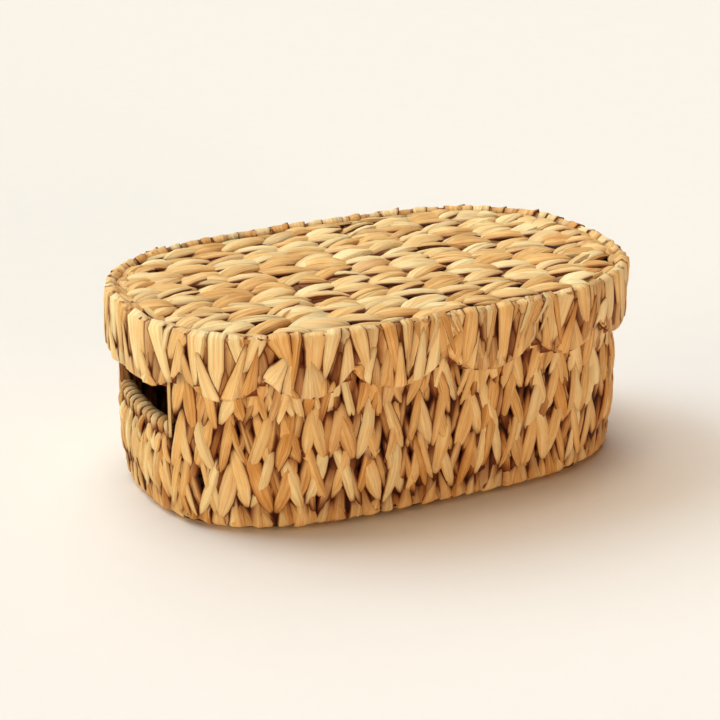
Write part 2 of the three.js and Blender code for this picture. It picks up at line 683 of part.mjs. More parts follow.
const postHigh = LID_RIM_HEIGHT - LID_RIM_WIRE / 2 - FIT;
const postPlaces = scallops.map(({ middle, width }) => middle + width / 2);
const postLow = (distance) => scallopWireHeight(distance) + halfScallopGroove(distance);
postPlaces.forEach((distance, i) => {
  const foot = place(skirtStations, distance, SCALLOP_PLANE, postLow(distance));
  const top = place(skirtStations, distance, SCALLOP_PLANE, postHigh);
  add(lid, `lid_post_${i + 1}`, straightWire(foot, top), iron);
});
const postRun = LID_RIM_PLANE - LID_ROLL_INSIDE + WIRE;
const postCutters = postPlaces.map((d) =>
  uprightSlot(skirtStations, d, SCALLOP_PLANE, postRun, scallopWireHeight(d), LID_RIM_HEIGHT),
);
add(lid, "lid_skirt_weave", cut(sweepRound(skirtStations, skirtSection), postCutters), paleStraw);

export default basket;
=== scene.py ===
# %% [markdown]
# # A lidded basket, woven strand by strand
#
# The real basket is a welded wire frame. Flat strands of dried water plant are woven over
# its hoops, folded over its rims and bound round its hand holes. The frame model already
# holds the wires and plain solids where the weave goes, so this lesson makes the weave.
#
# A weave could be painted on with a bump map, but then its outline would stay smooth and
# its gaps would hold no shadow. So every strand here is real geometry: one straight strand
# is modelled once, and each copy is bent along its own path.

import bmesh
import bpy
import numpy as np
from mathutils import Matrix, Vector


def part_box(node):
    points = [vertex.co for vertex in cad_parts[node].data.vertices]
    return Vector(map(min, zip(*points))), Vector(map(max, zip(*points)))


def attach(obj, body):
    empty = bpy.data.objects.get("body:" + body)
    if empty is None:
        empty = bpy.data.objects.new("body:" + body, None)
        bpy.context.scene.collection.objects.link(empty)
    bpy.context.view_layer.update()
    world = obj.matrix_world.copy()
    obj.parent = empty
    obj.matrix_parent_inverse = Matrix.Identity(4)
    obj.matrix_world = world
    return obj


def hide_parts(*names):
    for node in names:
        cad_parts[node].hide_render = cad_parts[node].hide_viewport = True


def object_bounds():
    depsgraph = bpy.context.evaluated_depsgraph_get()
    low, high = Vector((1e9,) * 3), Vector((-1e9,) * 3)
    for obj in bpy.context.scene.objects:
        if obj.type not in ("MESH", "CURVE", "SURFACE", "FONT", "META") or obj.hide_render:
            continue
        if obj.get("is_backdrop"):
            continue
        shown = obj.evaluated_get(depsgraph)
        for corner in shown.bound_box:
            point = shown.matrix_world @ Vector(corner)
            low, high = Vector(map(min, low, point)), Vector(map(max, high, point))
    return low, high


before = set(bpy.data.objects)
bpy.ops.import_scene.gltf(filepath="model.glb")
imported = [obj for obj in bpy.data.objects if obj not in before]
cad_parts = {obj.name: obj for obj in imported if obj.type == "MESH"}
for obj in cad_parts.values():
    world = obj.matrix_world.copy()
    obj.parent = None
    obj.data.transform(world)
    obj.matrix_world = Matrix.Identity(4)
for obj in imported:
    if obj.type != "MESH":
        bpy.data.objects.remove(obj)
cad_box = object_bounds()

# %% [markdown]
# ## Sizes
#
# Lengths are written in millimetres and turned into Blender's metres at the end, so that
# they read like the basket's own sizes. They could be typed in again, but the frame's boxes
# give them without a slip. Only the hand holes' width and the shape of the ends are repeated.

# %% Sizes from the frame
MM = 0.001
lid_low, lid_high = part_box("lid_skirt_weave")
LENGTH, WIDTH = (lid_high.x - lid_low.x) / MM, (lid_high.y - lid_low.y) / MM
LID_TOP = lid_high.z / MM
LID_EDGE_LOW = lid_low.z / MM
TUB_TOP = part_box("tub_rim_roll")[1].z / MM
ROLL_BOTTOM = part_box("tub_rim_roll")[0].z / MM
PANEL_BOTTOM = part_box("lid_top_weave")[0].z / MM
FLOOR_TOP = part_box("tub_floor_weave")[1].z / MM
BINDING_OVERLAP = 4.0  # how far the bound turns reach past a hand hole's edge
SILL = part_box("right_handle_binding")[0].z / MM + BINDING_OVERLAP
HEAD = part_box("right_handle_binding")[1].z / MM - BINDING_OVERLAP
HANDLE_HALF = 50.0
print(f"hand holes {SILL:.1f} to {HEAD:.1f} mm high, tub {TUB_TOP:.1f} mm, lid {LID_TOP:.1f} mm")

# %% [markdown]
# ## The outline that everything follows
#
# Seen from above, the basket is an oblong whose ends are squarer than half circles. `Ring`
# is that outline at any distance outside or inside the lid's edge, measured along itself
# from the middle of the right end, so a strand's place is simply how far round it lies.

# %% The outline
END_REACH = 171.5
END_SQUARENESS = 2.6
OUTLINE_POINTS = 1440


def signed_power(values, power):
    """Each value's size raised to a power, with its sign kept."""
    return np.sign(values) * np.abs(values) ** power


class Ring:
    """The basket's outline, moved outwards by outset, as distances along it."""

    def __init__(self, outset):
        turn = np.linspace(0, 2 * np.pi, OUTLINE_POINTS + 1)
        across = signed_power(np.cos(turn), 2 / END_SQUARENESS)
        along = signed_power(np.sin(turn), 2 / END_SQUARENESS)
        straight = (LENGTH / 2 - END_REACH) * np.sign(np.cos(turn))
        edge = np.stack([straight + END_REACH * across, WIDTH / 2 * along], -1)
        slope_x = signed_power(across, END_SQUARENESS - 1) / END_REACH
        slope_y = signed_power(along, END_SQUARENESS - 1) / (WIDTH / 2)
        slope = np.stack([slope_x, slope_y], -1)
        self.outward = slope / np.linalg.norm(slope, axis=1, keepdims=True)
        self.edge = edge + self.outward * outset
        steps = np.linalg.norm(np.diff(self.edge, axis=0), axis=1)
        self.distance = np.concatenate([[0], np.cumsum(steps)])
        self.length = self.distance[-1]

    def look_up(self, table, distance):
        """A table's two columns at these distances round."""
        wrapped = np.mod(distance, self.length)
        return np.stack([np.interp(wrapped, self.distance, table[:, i]) for i in (0, 1)], -1)

    def at(self, distance, lift=0.0):
        """Places this far round, lifted outwards, and the outward directions there."""
        outward = self.look_up(self.outward, distance)
        return self.look_up(self.edge, distance) + outward * np.expand_dims(lift, -1), outward

    def place(self, distance, height):
        """One place, as x, y and height."""
        spot, _ = self.at(np.array([distance]))
        return (*spot[0], height)

    def from_end(self, distance):
        """How far round a place lies from the middle of the nearest end."""
        half = self.length / 2
        return abs((distance + half / 2) % half - half / 2)

    def half_reach(self, axis, distance):
        """How far it reaches along one axis, 0 or 1, at a distance along the other."""
        quarter = self.edge[(self.edge >= 0).all(axis=1)]
        quarter = quarter[np.argsort(quarter[:, 1 - axis])]
        return float(np.interp(abs(distance), quarter[:, 1 - axis], quarter[:, axis]))


lid_ring = Ring(0)
print(f"outline {LENGTH:.0f} by {WIDTH:.0f} mm, {lid_ring.length:.0f} mm round")

# %% [markdown]
# ## Sheets for the strands to lie on
#
# A strand could be placed in x, y and z, but then each path would need the outline's
# formula. It is easier to describe on a flat sheet: so far along, so far up, so far proud.
# The sheets turn such places into real ones. `Wrap` goes round the basket, with a profile
# that may fold under the foot or over a rim. `Flat` is level, for the lid and the floor.

# %% A rounded profile
ROUNDING_POINTS = 7
SAME_PLACE = 1e-6


def rounded(corners, radius):
    """A profile through these corners, with each inner corner rounded off."""
    corners = [np.array(c, float) for c in corners]
    points = [corners[0]]
    for before, here, after in zip(corners, corners[1:], corners[2:]):
        back, forth = before - here, after - here
        reach = min(radius, np.linalg.norm(back) / 2, np.linalg.norm(forth) / 2)
        start = here + back / np.linalg.norm(back) * reach
        end = here + forth / np.linalg.norm(forth) * reach
        for t in np.linspace(0, 1, ROUNDING_POINTS):
            points.append((1 - t) ** 2 * start + 2 * t * (1 - t) * here + t**2 * end)
    points = np.array([*points, corners[-1]])
    moved = np.linalg.norm(np.diff(points, axis=0), axis=1) > SAME_PLACE
    return points[np.concatenate([[True], moved])]


# %% A sheet round the basket


class Wrap:
    """A sheet round the basket: u goes round, v goes along a profile of (outset, height).

    Heights are counted from base(u), which is level unless another is given.
    """

    def __init__(self, ring, corners, radius=4.0, facing=1, base=None):
        self.ring = ring
        self.base = base or (lambda u: 0 * u)
        self.profile = rounded(corners, radius)
        steps = np.diff(self.profile, axis=0)
        lengths = np.linalg.norm(steps, axis=1)
        self.v = np.concatenate([[0], np.cumsum(lengths)])
        self.reach = self.v[-1]
        along = steps / lengths[:, None]
        along = np.concatenate([along[:1], (along[1:] + along[:-1]) / 2, along[-1:]])
        self.normal = facing * np.stack([along[:, 1], -along[:, 0]], -1)

    def at(self, u, v, lift):
        """Places and outward directions."""
        table = np.concatenate([self.profile, self.normal], 1)
        outset, height, out, up = (np.interp(v, self.v, table[:, i]) for i in range(4))
        size = np.hypot(out, up)
        out, up = out / size, up / size
        place, outward = self.ring.at(u, outset + out * lift)
        level = height + up * lift + self.base(u)
        places = np.concatenate([place, level[:, None]], 1)
        return places, np.concatenate([outward * out[:, None], up[:, None]], 1)

    def v_at_height(self, height):
        """How far along the profile a height lies, where the profile only rises."""
        rising = self.profile[:, 1]
        order = np.argsort(rising)
        return float(np.interp(height, rising[order], self.v[order]))

    def shear(self, u, offsets):
        """How much higher or lower the base is at these sideways offsets."""
        _, outward = self.ring.at(u)
        sideways = offsets[:, 1] * outward[:, 0] - offsets[:, 0] * outward[:, 1]
        return self.base(u + sideways) - self.base(u)


# %% A level sheet


class Flat:
    """A level sheet: u is along the basket, v is across it."""

    def __init__(self, height, facing=1):
        self.height, self.facing = height, facing

    def at(self, u, v, lift):
        """Places and outward directions."""
        level = self.height + self.facing * lift
        return np.stack([u, v, level], -1), np.tile([0.0, 0.0, self.facing], (len(u), 1))


# %% [markdown]
# ## One straight strand
#
# A dried strand is a soft flat tube that was pressed until it creased: wide, thin at both
# edges, with a crease along its crown. A ribbon with a Solidify modifier would have square
# edges and no crown. So it is made once, as a cylinder whose long edges are cut into
# lengths; the crease and the two thin edges are marked sharp. Its UV map says how far
# across and how far along the strand a point is, which the fibres follow later. Few faces
# are enough, because the basket holds thousands of copies.

# %% From bmesh to mesh


def mesh_from(bm, name):
    """A mesh from a finished bmesh, which is freed."""
    mesh = bpy.data.meshes.new(name)
    bm.to_mesh(mesh)
    bm.free()
    return mesh


# %% Model the straight strand
STRAND_SIDES = 8
STEPS = np.array([0, 0.07, 0.19, 0.35, 0.52, 0.69, 0.84, 0.94, 1.0])
CROWN = 0.9  # a corner is on the crease or a thin edge if it lies beyond this, out of 1


def straight_strand():
    """A strand one unit long and two wide, standing up."""
    bm = bmesh.new()
    bmesh.ops.create_cone(
        bm, cap_ends=True, segments=STRAND_SIDES, radius1=1, radius2=1, depth=1
    )
    upright = [e for e in bm.edges if abs(e.verts[0].co.z - e.verts[1].co.z) > 0.5]
    bmesh.ops.subdivide_edges(bm, edges=upright, cuts=len(STEPS) - 2, use_grid_fill=True)
    for edge in bm.edges:
        a, b = (v.co for v in edge.verts)
        level = abs(a.z - b.z) < 1e-4
        edge.smooth = level or not (a.y > CROWN or abs(a.x) > CROWN)
    uv = bm.loops.layers.uv.new("strand")
    for face in bm.faces:
        face.smooth = len(face.verts) == 4
        for loop in face.loops:
            step = STEPS[round((loop.vert.co.z + 0.5) * (len(STEPS) - 1))]
            loop[uv].uv = (loop.vert.co.x / 2 + 0.5, step)
    return mesh_from(bm, "straight_strand")


STRAND = straight_strand()
CORNERS = np.array([v.co for v in STRAND.vertices])
CORNER_STEP = np.rint((CORNERS[:, 2] + 0.5) * (len(STEPS) - 1)).astype(int)
print(f"a strand has {len(STRAND.polygons)} faces")

# %% [markdown]
# ## Laying strands
#
# A curve with a bevel would do for one strand, but thousands of curves are slow and can't
# carry a crease. `Weave` gathers the strands of one piece in arrays instead. `lay` takes a
# path on a sheet and bends a copy of the straight strand along it: at each step it needs
# the way along, the way across and the way out, like the frame of a sweep. Each strand gets
# its own crown, roll and tone, so that no two catch the light alike. The random numbers
# start from a seed, so every run weaves the same basket.

# %% Hang a finished mesh on its body


def add_object(name, data):
    """A new object in the scene."""
    made = bpy.data.objects.new(name, data)
    bpy.context.scene.collection.objects.link(made)
    return made


def place_piece(mesh, material, body, slot, *replaced):
    """An object for a finished mesh, riding on its body."""
    mesh.materials.append(material)
    piece = add_object(mesh.name, mesh)
    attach(piece, body)
    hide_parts(*replaced)
    print(f"{mesh.name}: {len(mesh.polygons)} faces on the {body}")


# %% Lay and gather strands
WIDTH_WAVE = 0.13  # how much a strand's width may wander, as a share
WAVE_TURN = 7  # how far that wave turns over a strand's length, in radians
CREASE_SHIFT, CREASE_DRIFT = 0.5, 0.25  # where the crease lies, in half widths
CROWN_SHARE = 0.3  # how much fuller one half of a strand may be
BACK_SHARE = 0.7  # the back of a strand is pressed flatter than its front


def unit(vectors):
    """Vectors made one long."""
    return vectors / np.linalg.norm(vectors, axis=1, keepdims=True)


class Weave:
    """The strands of one piece. Relief and sunk scale how proud each corner counts, and so how
    much painted shade the strand colour gets.
    """

    def __init__(self, name, seed, tones=(0.0, 1.0), relief=1.0, sunk=0.0):
        self.name, self.tones, self.relief, self.sunk = name, tones, relief, sunk
        self.random = np.random.default_rng(seed)
        self.corners, self.marks, self.proud = [], [], []

    def vary(self, amount):
        """A small random change either way."""
        return self.random.uniform(-amount, amount)

    def lay(self, sheet, u, v, lift, width, thickness, roll=0.0, tone=None):
        """Bends one strand along a path and turns it by roll, in degrees."""
        ones = np.ones(len(STEPS))
        turn = WAVE_TURN * STEPS * self.random.uniform(0.8, 1.5)
        waves = np.sin(turn + self.random.uniform(0, 6))
        width = width * (1 + self.vary(WIDTH_WAVE) * waves)
        places, out = sheet.at(u * ones, v * ones, lift * ones)
        along = unit(np.gradient(places, axis=0))
        across = unit(np.cross(out, along))
        out = unit(np.cross(along, across))
        a, b = CORNERS[:, 0].copy(), CORNERS[:, 1].copy()
        crease = self.vary(CREASE_SHIFT) + self.vary(CREASE_DRIFT) * (2 * STEPS - 1)[CORNER_STEP]
        a += np.where(b > CROWN, crease, 0)
        right, left = 1 + self.vary(CROWN_SHARE), 1 + self.vary(CROWN_SHARE)
        b *= np.where(b > 0, np.where(a > 0, right, left), BACK_SHARE)
        a, b = a * (width * ones)[CORNER_STEP] / 2, b * (thickness * ones)[CORNER_STEP] / 2
        turn = np.radians(roll * ones)[CORNER_STEP]
        side = a * np.cos(turn) - b * np.sin(turn)
        rise = a * np.sin(turn) + b * np.cos(turn)
        offsets = across[CORNER_STEP] * side[:, None] + out[CORNER_STEP] * rise[:, None]
        corners = places[CORNER_STEP] + offsets
        if isinstance(sheet, Wrap):
            corners[:, 2] += sheet.shear((u * ones)[CORNER_STEP], offsets)
        self.corners.append(corners)
        self.proud.append(((lift * ones)[CORNER_STEP] + rise - self.sunk) / self.relief)
        run = np.linalg.norm(np.diff(places, axis=0), axis=1).sum()
        tone = self.random.uniform(*self.tones) if tone is None else tone
        self.marks.append(np.tile([tone, self.random.random(), run * MM], (len(a), 1)))

    def finish(self, material, body, slot, *replaced):
        """Makes the piece's object, hangs it on its body and hides the frame parts that it
        replaces.
        """
        bm = bmesh.new()
        for _ in self.corners:
            bm.from_mesh(STRAND)
        mesh = mesh_from(bm, self.name)
        mesh.vertices.foreach_set("co", (np.concatenate(self.corners) * MM).ravel())
        marks = mesh.attributes.new("strand_marks", "FLOAT_VECTOR", "POINT")
        marks.data.foreach_set("vector", np.concatenate(self.marks).ravel())
        proud = mesh.attributes.new("proud", "FLOAT", "POINT")
        proud.data.foreach_set("value", np.concatenate(self.proud))
        print(f"{self.name}: {len(self.corners)} strands")
        place_piece(mesh, material, body, slot, *replaced)


# %% [markdown]
# ## Writing shader maths
#
# A material's maths is long to click together and longer to write node by node. `Socket`
# wraps one output, so that `1 - mask * 0.5` adds its own Math nodes. Colours go through
# `mix`, because a Math node would turn them grey.

# %% A socket that does maths


class Socket:
    """One node output, with arithmetic."""

    def __init__(self, tree, output):
        self.tree, self.output = tree, output

    def node(self, kind, settings=None, out=0, **inputs):
        """A node of this type, its settings first and then its inputs, by name or number."""
        made = self.tree.nodes.new(kind)
        for name, value in (settings or {}).items():
            setattr(made, name, value)
        for name, value in inputs.items():
            numbered = name[0] == "i" and name[1:].isdigit()
            socket = made.inputs[int(name[1:]) if numbered else name.replace("_", " ")]
            if isinstance(value, Socket):
                self.tree.links.new(value.output, socket)
            else:
                socket.default_value = value
        return Socket(self.tree, made.outputs[out])

    def other(self, out):
        """Another output of the same node."""
        return Socket(self.tree, self.output.node.outputs[out])

    def maths(self, operation, first, second=0.0):
        """One Math node."""
        return self.node("ShaderNodeMath", {"operation": operation}, i0=first, i1=second)

    def __add__(self, other):
        return self.maths("ADD", self, other)

    def __sub__(self, other):
        return self.maths("SUBTRACT", self, other)

    def __mul__(self, other):
        return self.maths("MULTIPLY", self, other)

    def __rsub__(self, other):
        return self.maths("SUBTRACT", other, self)

    __radd__, __rmul__ = __add__, __mul__

    def size(self):
        """Its size without its sign."""
        return self.maths("ABSOLUTE", self)

    def between(self, low, high):
        """0 below low, 1 above high and a smooth step between."""
        ranged = {"interpolation_type": "SMOOTHSTEP"}
        return self.node("ShaderNodeMapRange", ranged, Value=self, From_Min=low, From_Max=high)

    def mix(self, low, high):
        """A colour between low and high, with this as the factor."""
        return self.node("ShaderNodeMix", {"data_type": "RGBA"}, 2, i0=self, i6=low, i7=high)


# %% Helpers for every material


def vector(x, y, z):
    """Three sockets as one vector."""
    return x.node("ShaderNodeCombineXYZ", i0=x, i1=y, i2=z)


def noise(place, scale=1.0, detail=2.0, roughness=0.5):
    """A noise pattern's value."""
    return place.node(
        "ShaderNodeTexNoise", Vector=place, Scale=scale, Detail=detail, Roughness=roughness
    )


def object_place(start):
    """Where a point lies on the object."""
    return start.node("ShaderNodeTexCoord", out=3)


def paint(red, green, blue):
    """A colour as seen on screen, 0 to 255, in the linear values that shaders use."""
    seen = np.array([red, green, blue]) / 255
    linear = np.where(seen < 0.04045, seen / 12.92, ((seen + 0.055) / 1.055) ** 2.4)
    return (*linear, 1.0)


def new_material(name, roughness, gloss=0.5):
    """A material with a Principled shader, and a socket to begin its maths from."""
    material = bpy.data.materials.new(name)
    material.use_nodes = True
    shader = material.node_tree.nodes["Principled BSDF"]
    shader.inputs["Roughness"].default_value = roughness
    shader.inputs["Specular IOR Level"].default_value = gloss
    print("material:", name)
    return material, shader, Socket(material.node_tree, None)


def feed(shader, name, value):
    """Links a value into the shader."""
    value.tree.links.new(value.output, shader.inputs[name])


# %% [markdown]
# ## Dried strand
#
# Close up, a dried strand shows fine fibres along its length, a few folds where it was
# flattened, and a colour that drifts from cream to orange brown. Its edges are darker, partly
# from stain and partly from painted shade, with a thin painted shadow line along each edge.
# Its ends and its creases are painted darker as shade, where they dive or fold away, and a
# few strands have weathered. A picture of a strand would repeat on thousands of them. Noise
# doesn't, and the strand's own UV map bends it with every strand. The marks that each strand
# was given hold its tone, a random number and its length, so that fibres are as long on a
# short strand as on a long one.
#
# Shade is painted in where a weave is deep. `proud` says how far out of the weave each point
# lies, and the colour runs towards dark brown as it sinks, and further towards near black.
# That painted shade draws the dark slits between neighbours that make a weave readable from
# across a room.

# %% The strand material
WEATHERED = paint(224, 188, 138)
# A thin dark line painted along each strand's edges: painted shadow where strands overlap.
EDGE_SHADOW_LINE = paint(80, 32, 4)
# Near black painted shade for the deepest gaps.
DEEP_SHADE = paint(48, 17, 2)


def strand_material(name, dark, middle, pale, shade_and_stain):
    """Dried plant strand, from its dark, middle and pale tones."""
    material, shader, start = new_material(name, 0.62, gloss=0.25)
    uv = start.node("ShaderNodeUVMap", {"uv_map": "strand"})
    marks = start.node("ShaderNodeAttribute", {"attribute_name": "strand_marks"}, 1)
    across = start.node("ShaderNodeSeparateXYZ", Vector=uv)
    along = across.other(1)
    tone = start.node("ShaderNodeSeparateXYZ", Vector=marks)
    seed, run = tone.other(1), tone.other(2)

    proud = start.node("ShaderNodeAttribute", {"attribute_name": "proud"}, 2)
    metres = along * run
    fibres = noise(vector(across * 9, metres * 13, seed * 80), detail=5.0, roughness=0.7)
    folds = noise(vector(across * 3.4, metres * 9, seed * 50 + 7), detail=1.0)
    patches = noise(vector(across * 1.3, metres * 45, seed * 30 + 3))
    crease = 1 - (folds - 0.5).size().between(0.0, 0.03)

    shade = tone * 0.6 + patches * 0.55 + (fibres - 0.5) * 1.25
    colour = shade.between(0.15, 0.6).mix(dark, middle)
    colour = shade.between(0.5, 0.95).mix(colour, pale)
    weathered = (seed - 0.84).between(0.0, 0.1) * (0.1 + patches * 0.45)
    colour = weathered.mix(colour, WEATHERED)

    # Painted shade and stain: the edges darken partly from stain and partly as painted shade, and
    # the ends and creases darken as painted shade where they dive or fold away.
    side = ((across - 0.5) * 2).size()
    edge = side.between(0.56, 0.92) * 0.26 + side.between(0.8, 0.94) * 0.68
    end = ((along - 0.5) * 2).size().between(0.8, 1.0)
    # The deeper a point sinks below the weave, the more painted shade it gets.
    painted_shade_and_stain = edge + end * 0.4 + (0.4 - proud).between(0.0, 3.0) + crease * 0.12
    colour = painted_shade_and_stain.mix(colour, shade_and_stain)
    # The thin painted shadow line along each edge.
    colour = (side.between(0.88, 0.99) * 0.7).mix(colour, EDGE_SHADOW_LINE)
    # Deeper still, the painted shade runs towards near black.
    colour = (-1.0 - proud).between(0.0, 2.7).mix(colour, DEEP_SHADE)
    feed(shader, "Base Color", colour)
    feed(shader, "Roughness", 0.72 - fibres * 0.2)

    relief = fibres * 0.85 + folds - crease * 0.12
    bump = relief.node("ShaderNodeBump", Strength=0.9, Distance=0.002, Height=relief)
    feed(shader, "Normal", bump)
    return material


# Each stain colour also serves as the colour of painted shade in the weave.
straw = strand_material(
    "straw",
    dark=paint(212, 148, 74),
    middle=paint(247, 198, 126),
    pale=paint(255, 230, 172),
    shade_and_stain=paint(138, 64, 8),
)
pale_straw = strand_material(
    "pale_straw",
    dark=paint(222, 159, 84),
    middle=paint(250, 203, 133),
    pale=paint(255, 231, 174),
    shade_and_stain=paint(138, 66, 10),
)

# %% [markdown]
# ## Shaded weave and varnished wire
#
# Behind the strands that show, each strand passes over the far side of the next hoop. Only
# their crossings, deep in shade, are seen through the gaps. Laying those strands too would double
# the mesh for a few dark specks, so one thin sheet stands for them, with that shade painted into
# its dark browns. The wires themselves keep their solids and get a dark varnish with a few rust
# spots.

# %% The shaded weave and the wires


def shaded_weave_material():
    """The inner crossings of the weave, with their deep shade painted into the colour."""
    material, shader, start = new_material("shaded_weave", 0.9)
    grain = noise(object_place(start), scale=260.0, detail=3.0)
    feed(shader, "Base Color", grain.mix(paint(70, 28, 6), paint(134, 72, 24)))
    feed(shader, "Normal", grain.node("ShaderNodeBump", Distance=0.001, Height=grain))
    return material


def wire_material():
    """Dark varnished wire."""
    material, shader, start = new_material("varnished_wire", 0.6, gloss=0.12)
    place = object_place(start)
    spots = noise(place, scale=180.0, detail=4.0).between(0.56, 0.7)
    feed(shader, "Base Color", spots.mix(paint(52, 30, 14), paint(104, 56, 24)))
    feed(shader, "Roughness", 0.6 + spots * 0.25)
    runs = noise(place, scale=700.0)
    feed(shader, "Normal", runs.node("ShaderNodeBump", Distance=0.0002, Height=runs))
    return material


shaded_weave = shaded_weave_material()
varnished_wire = wire_material()
WOVEN = ("weave", "roll", "binding")
wires = [node for name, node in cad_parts.items() if not name.endswith(WOVEN)]
for wire in wires:
    for slot in wire.material_slots:
        slot.material = varnished_wire
print(f"{len(wires)} wires are varnished")

# %% [markdown]
# ## The chevron weave
#
# Each strand twines round its neighbour between two hoops, and the next pair twines the
# other way, so what shows is rows of leaf-shaped floats that lean left and right in turn:
# columns of V shapes. A float lies proud over its hoop. Its pointed tip dives into the gap
# at the foot of the V, and its other end slips under the row above.
#
# One braid could be modelled and repeated, but then every V would be the same. So
# `float_strand` lays one float with its own bow and twist, and `chevron_arm` now and then
# splits one in two, as on the real basket.

# %% One float of the chevron
FLOAT_WIDTH = np.array([0.14, 0.42, 0.74, 0.97, 1.0, 0.9, 0.7, 0.46, 0.2])
FLOAT_LIFT = np.array([-1.4, 0.3, 1.4, 1.9, 1.8, 1.1, -0.3, -2.2, -4.2])
OVER = np.interp(STEPS, [0, 0.3, 0.75, 1], [0, 0, 1, 0])
SPLIT_SHARE = 0.2
THIN_PLACE, THIN_WIDTH, THIN_DEPTH = 0.23, 0.62, 0.8  # of a whole float's width and depth


def float_strand(weave, sheet, u, v, du, dv, width, proud=1.0, thickness=5.2):
    """A float from its tip at (u, v) to its far end, du and dv away."""
    hand = np.sign(du * dv)  # left-leaning and right-leaning floats bow opposite ways
    bow = (weave.vary(2.4) - 0.8 * hand) * np.sin(np.pi * STEPS)
    size = np.hypot(du, dv)
    us = u + du * STEPS - bow * dv / size
    vs = v + dv * STEPS + bow * du / size
    over = (0.4 * hand + weave.vary(0.6)) * OVER
    lift = FLOAT_LIFT * proud + weave.vary(0.5) + over - thickness / 2
    twist = weave.vary(16) + weave.vary(30) * (STEPS - 0.5)
    weave.lay(sheet, us, vs, lift, FLOAT_WIDTH * width, thickness * FLOAT_WIDTH**0.6, twist)


def chevron_arm(weave, sheet, u, v, du, dv, width, proud=1.0, thickness=5.2):
    """One arm of a V: a float, or now and then two thin ones side by side."""
    u, v = u + weave.vary(1.2), v + weave.vary(3.0)
    loose, tight = 1 + weave.vary(0.3), 1 + weave.vary(0.08)
    du, dv = (du * loose, dv * tight) if abs(du) < abs(dv) else (du * tight, dv * loose)
    width = width * (1 + weave.vary(0.26))
    if weave.random.random() > SPLIT_SHARE:
        float_strand(weave, sheet, u, v, du, dv, width, proud, thickness)
        return
    size = np.hypot(du, dv)
    for side in (-1, 1):
        shift = side * width * THIN_PLACE
        su, sv = u - shift * dv / size, v + shift * du / size + weave.vary(4)
        thin = (width * THIN_WIDTH, proud, thickness * THIN_DEPTH)
        float_strand(weave, sheet, su, sv, du, dv, *thin)


# %% [markdown]
# ## The tub's wall
#
# The wall's profile starts under the foot, turns up round it, swells and is drawn in at the
# neck where the lid's skirt hangs. The V columns stand on it in rows, a row to each hoop.
# Floats that would cross a hand hole are cut short at its edge, and not trimmed after they
# are laid, because a real strand turns back there and keeps its tip.

# %% The wall's sheet
WALL_SHEET = -8.9
WALL_TOP = 137.0
FOOT_CORNER = 9.0
FOOT_RUN = 18.0  # how far the sheet runs in under the foot
FOOT_LIFT = 1.5  # half a folded strand lies below the sheet
outside_ring = Ring(WALL_SHEET)
under_foot = [(-0.6 - FOOT_RUN, FOOT_LIFT), (-0.6, FOOT_LIFT)]
up_wall = [(0.9, 58), (-1.2, 100), (-2.0, WALL_TOP)]
outside = Wrap(outside_ring, under_foot + up_wall, FOOT_CORNER)
print(f"the wall's sheet is {outside.reach:.0f} mm from under the foot to the rim")

# %% Where the arms of the V shapes go
V_PITCH = 20.2
ROW_PITCH = 33.5
ARM_LENGTH = 55.0
ARM_LEAN = 13.8
ARM_GAP = 0.9  # between the tips of a V's arms, halved
HOLE_ROOM = 2.5  # between a hand hole's side and the middle of an arm
FIRST_TIP = 13.5
COLUMN_SWAY, COLUMN_SHIFT, TIP_SHIFT = 1.5, 6.5, 2.0  # how far the weaver's hand strays
STOP_LOW, STOP_HIGH = SILL - 8, HEAD + 1.5  # where a shortened arm ends, or starts


def arm_beside_hole(low, rise):
    """Where an arm starts and how far it rises if it must stay clear of a hand hole."""
    high = low + rise
    if low >= HEAD + 6 or high <= SILL - 5:  # it is clear already
        return low, rise
    if low < SILL - 22:  # it stops early, below the sill
        return low, STOP_LOW - low
    if high > HEAD + 18:  # it starts late, above the head
        return STOP_HIGH, high - STOP_HIGH
    return low, 0  # too little of it would be left


def weave_wall(weave, sheet, rows, columns, width, offset=0.5):
    """V columns all round a wall, stopped at the hand holes."""
    ring = sheet.ring
    for column in range(columns):
        centre = ring.length * (column + offset) / columns + weave.vary(COLUMN_SWAY)
        shift = weave.vary(COLUMN_SHIFT)
        for row in rows:
            tip = FIRST_TIP + row * ROW_PITCH + shift + weave.vary(TIP_SHIFT)
            for side in (-1, 1):
                u, low = centre + side * ARM_GAP, tip
                du, dv = side * ARM_LEAN, min(ARM_LENGTH, WALL_TOP - tip)
                if ring.from_end(u + du / 2) < HANDLE_HALF + HOLE_ROOM:
                    low, clear = arm_beside_hole(tip, dv)
                    if not clear:
                        continue
                    if clear != dv:
                        du, dv = du * (clear / ARM_LENGTH), clear
                chevron_arm(weave, sheet, u, sheet.v_at_height(low), du, dv, width)


# %% Weave the tub's wall
V_COLUMNS = round(outside_ring.length / V_PITCH)
OUTSIDE_ROWS = range(4)
wall_strands = Weave("tub_wall_strands", 11, relief=0.85)
weave_wall(wall_strands, outside, OUTSIDE_ROWS, V_COLUMNS, width=11.8)
wall_strands.finish(straw, "tub", "straw", "tub_wall_weave")

# %% [markdown]
# ## The foot
#
# Below the lowest tips, the strands' turned ends stand on the foot: wide where they fold
# under it, narrow where they slip up between the V shapes. They could be more floats, but
# a float has no fold, and the foot would look cut off. Long ones are laid first and short
# ones between them.

# %% Turn the strands' ends round the foot


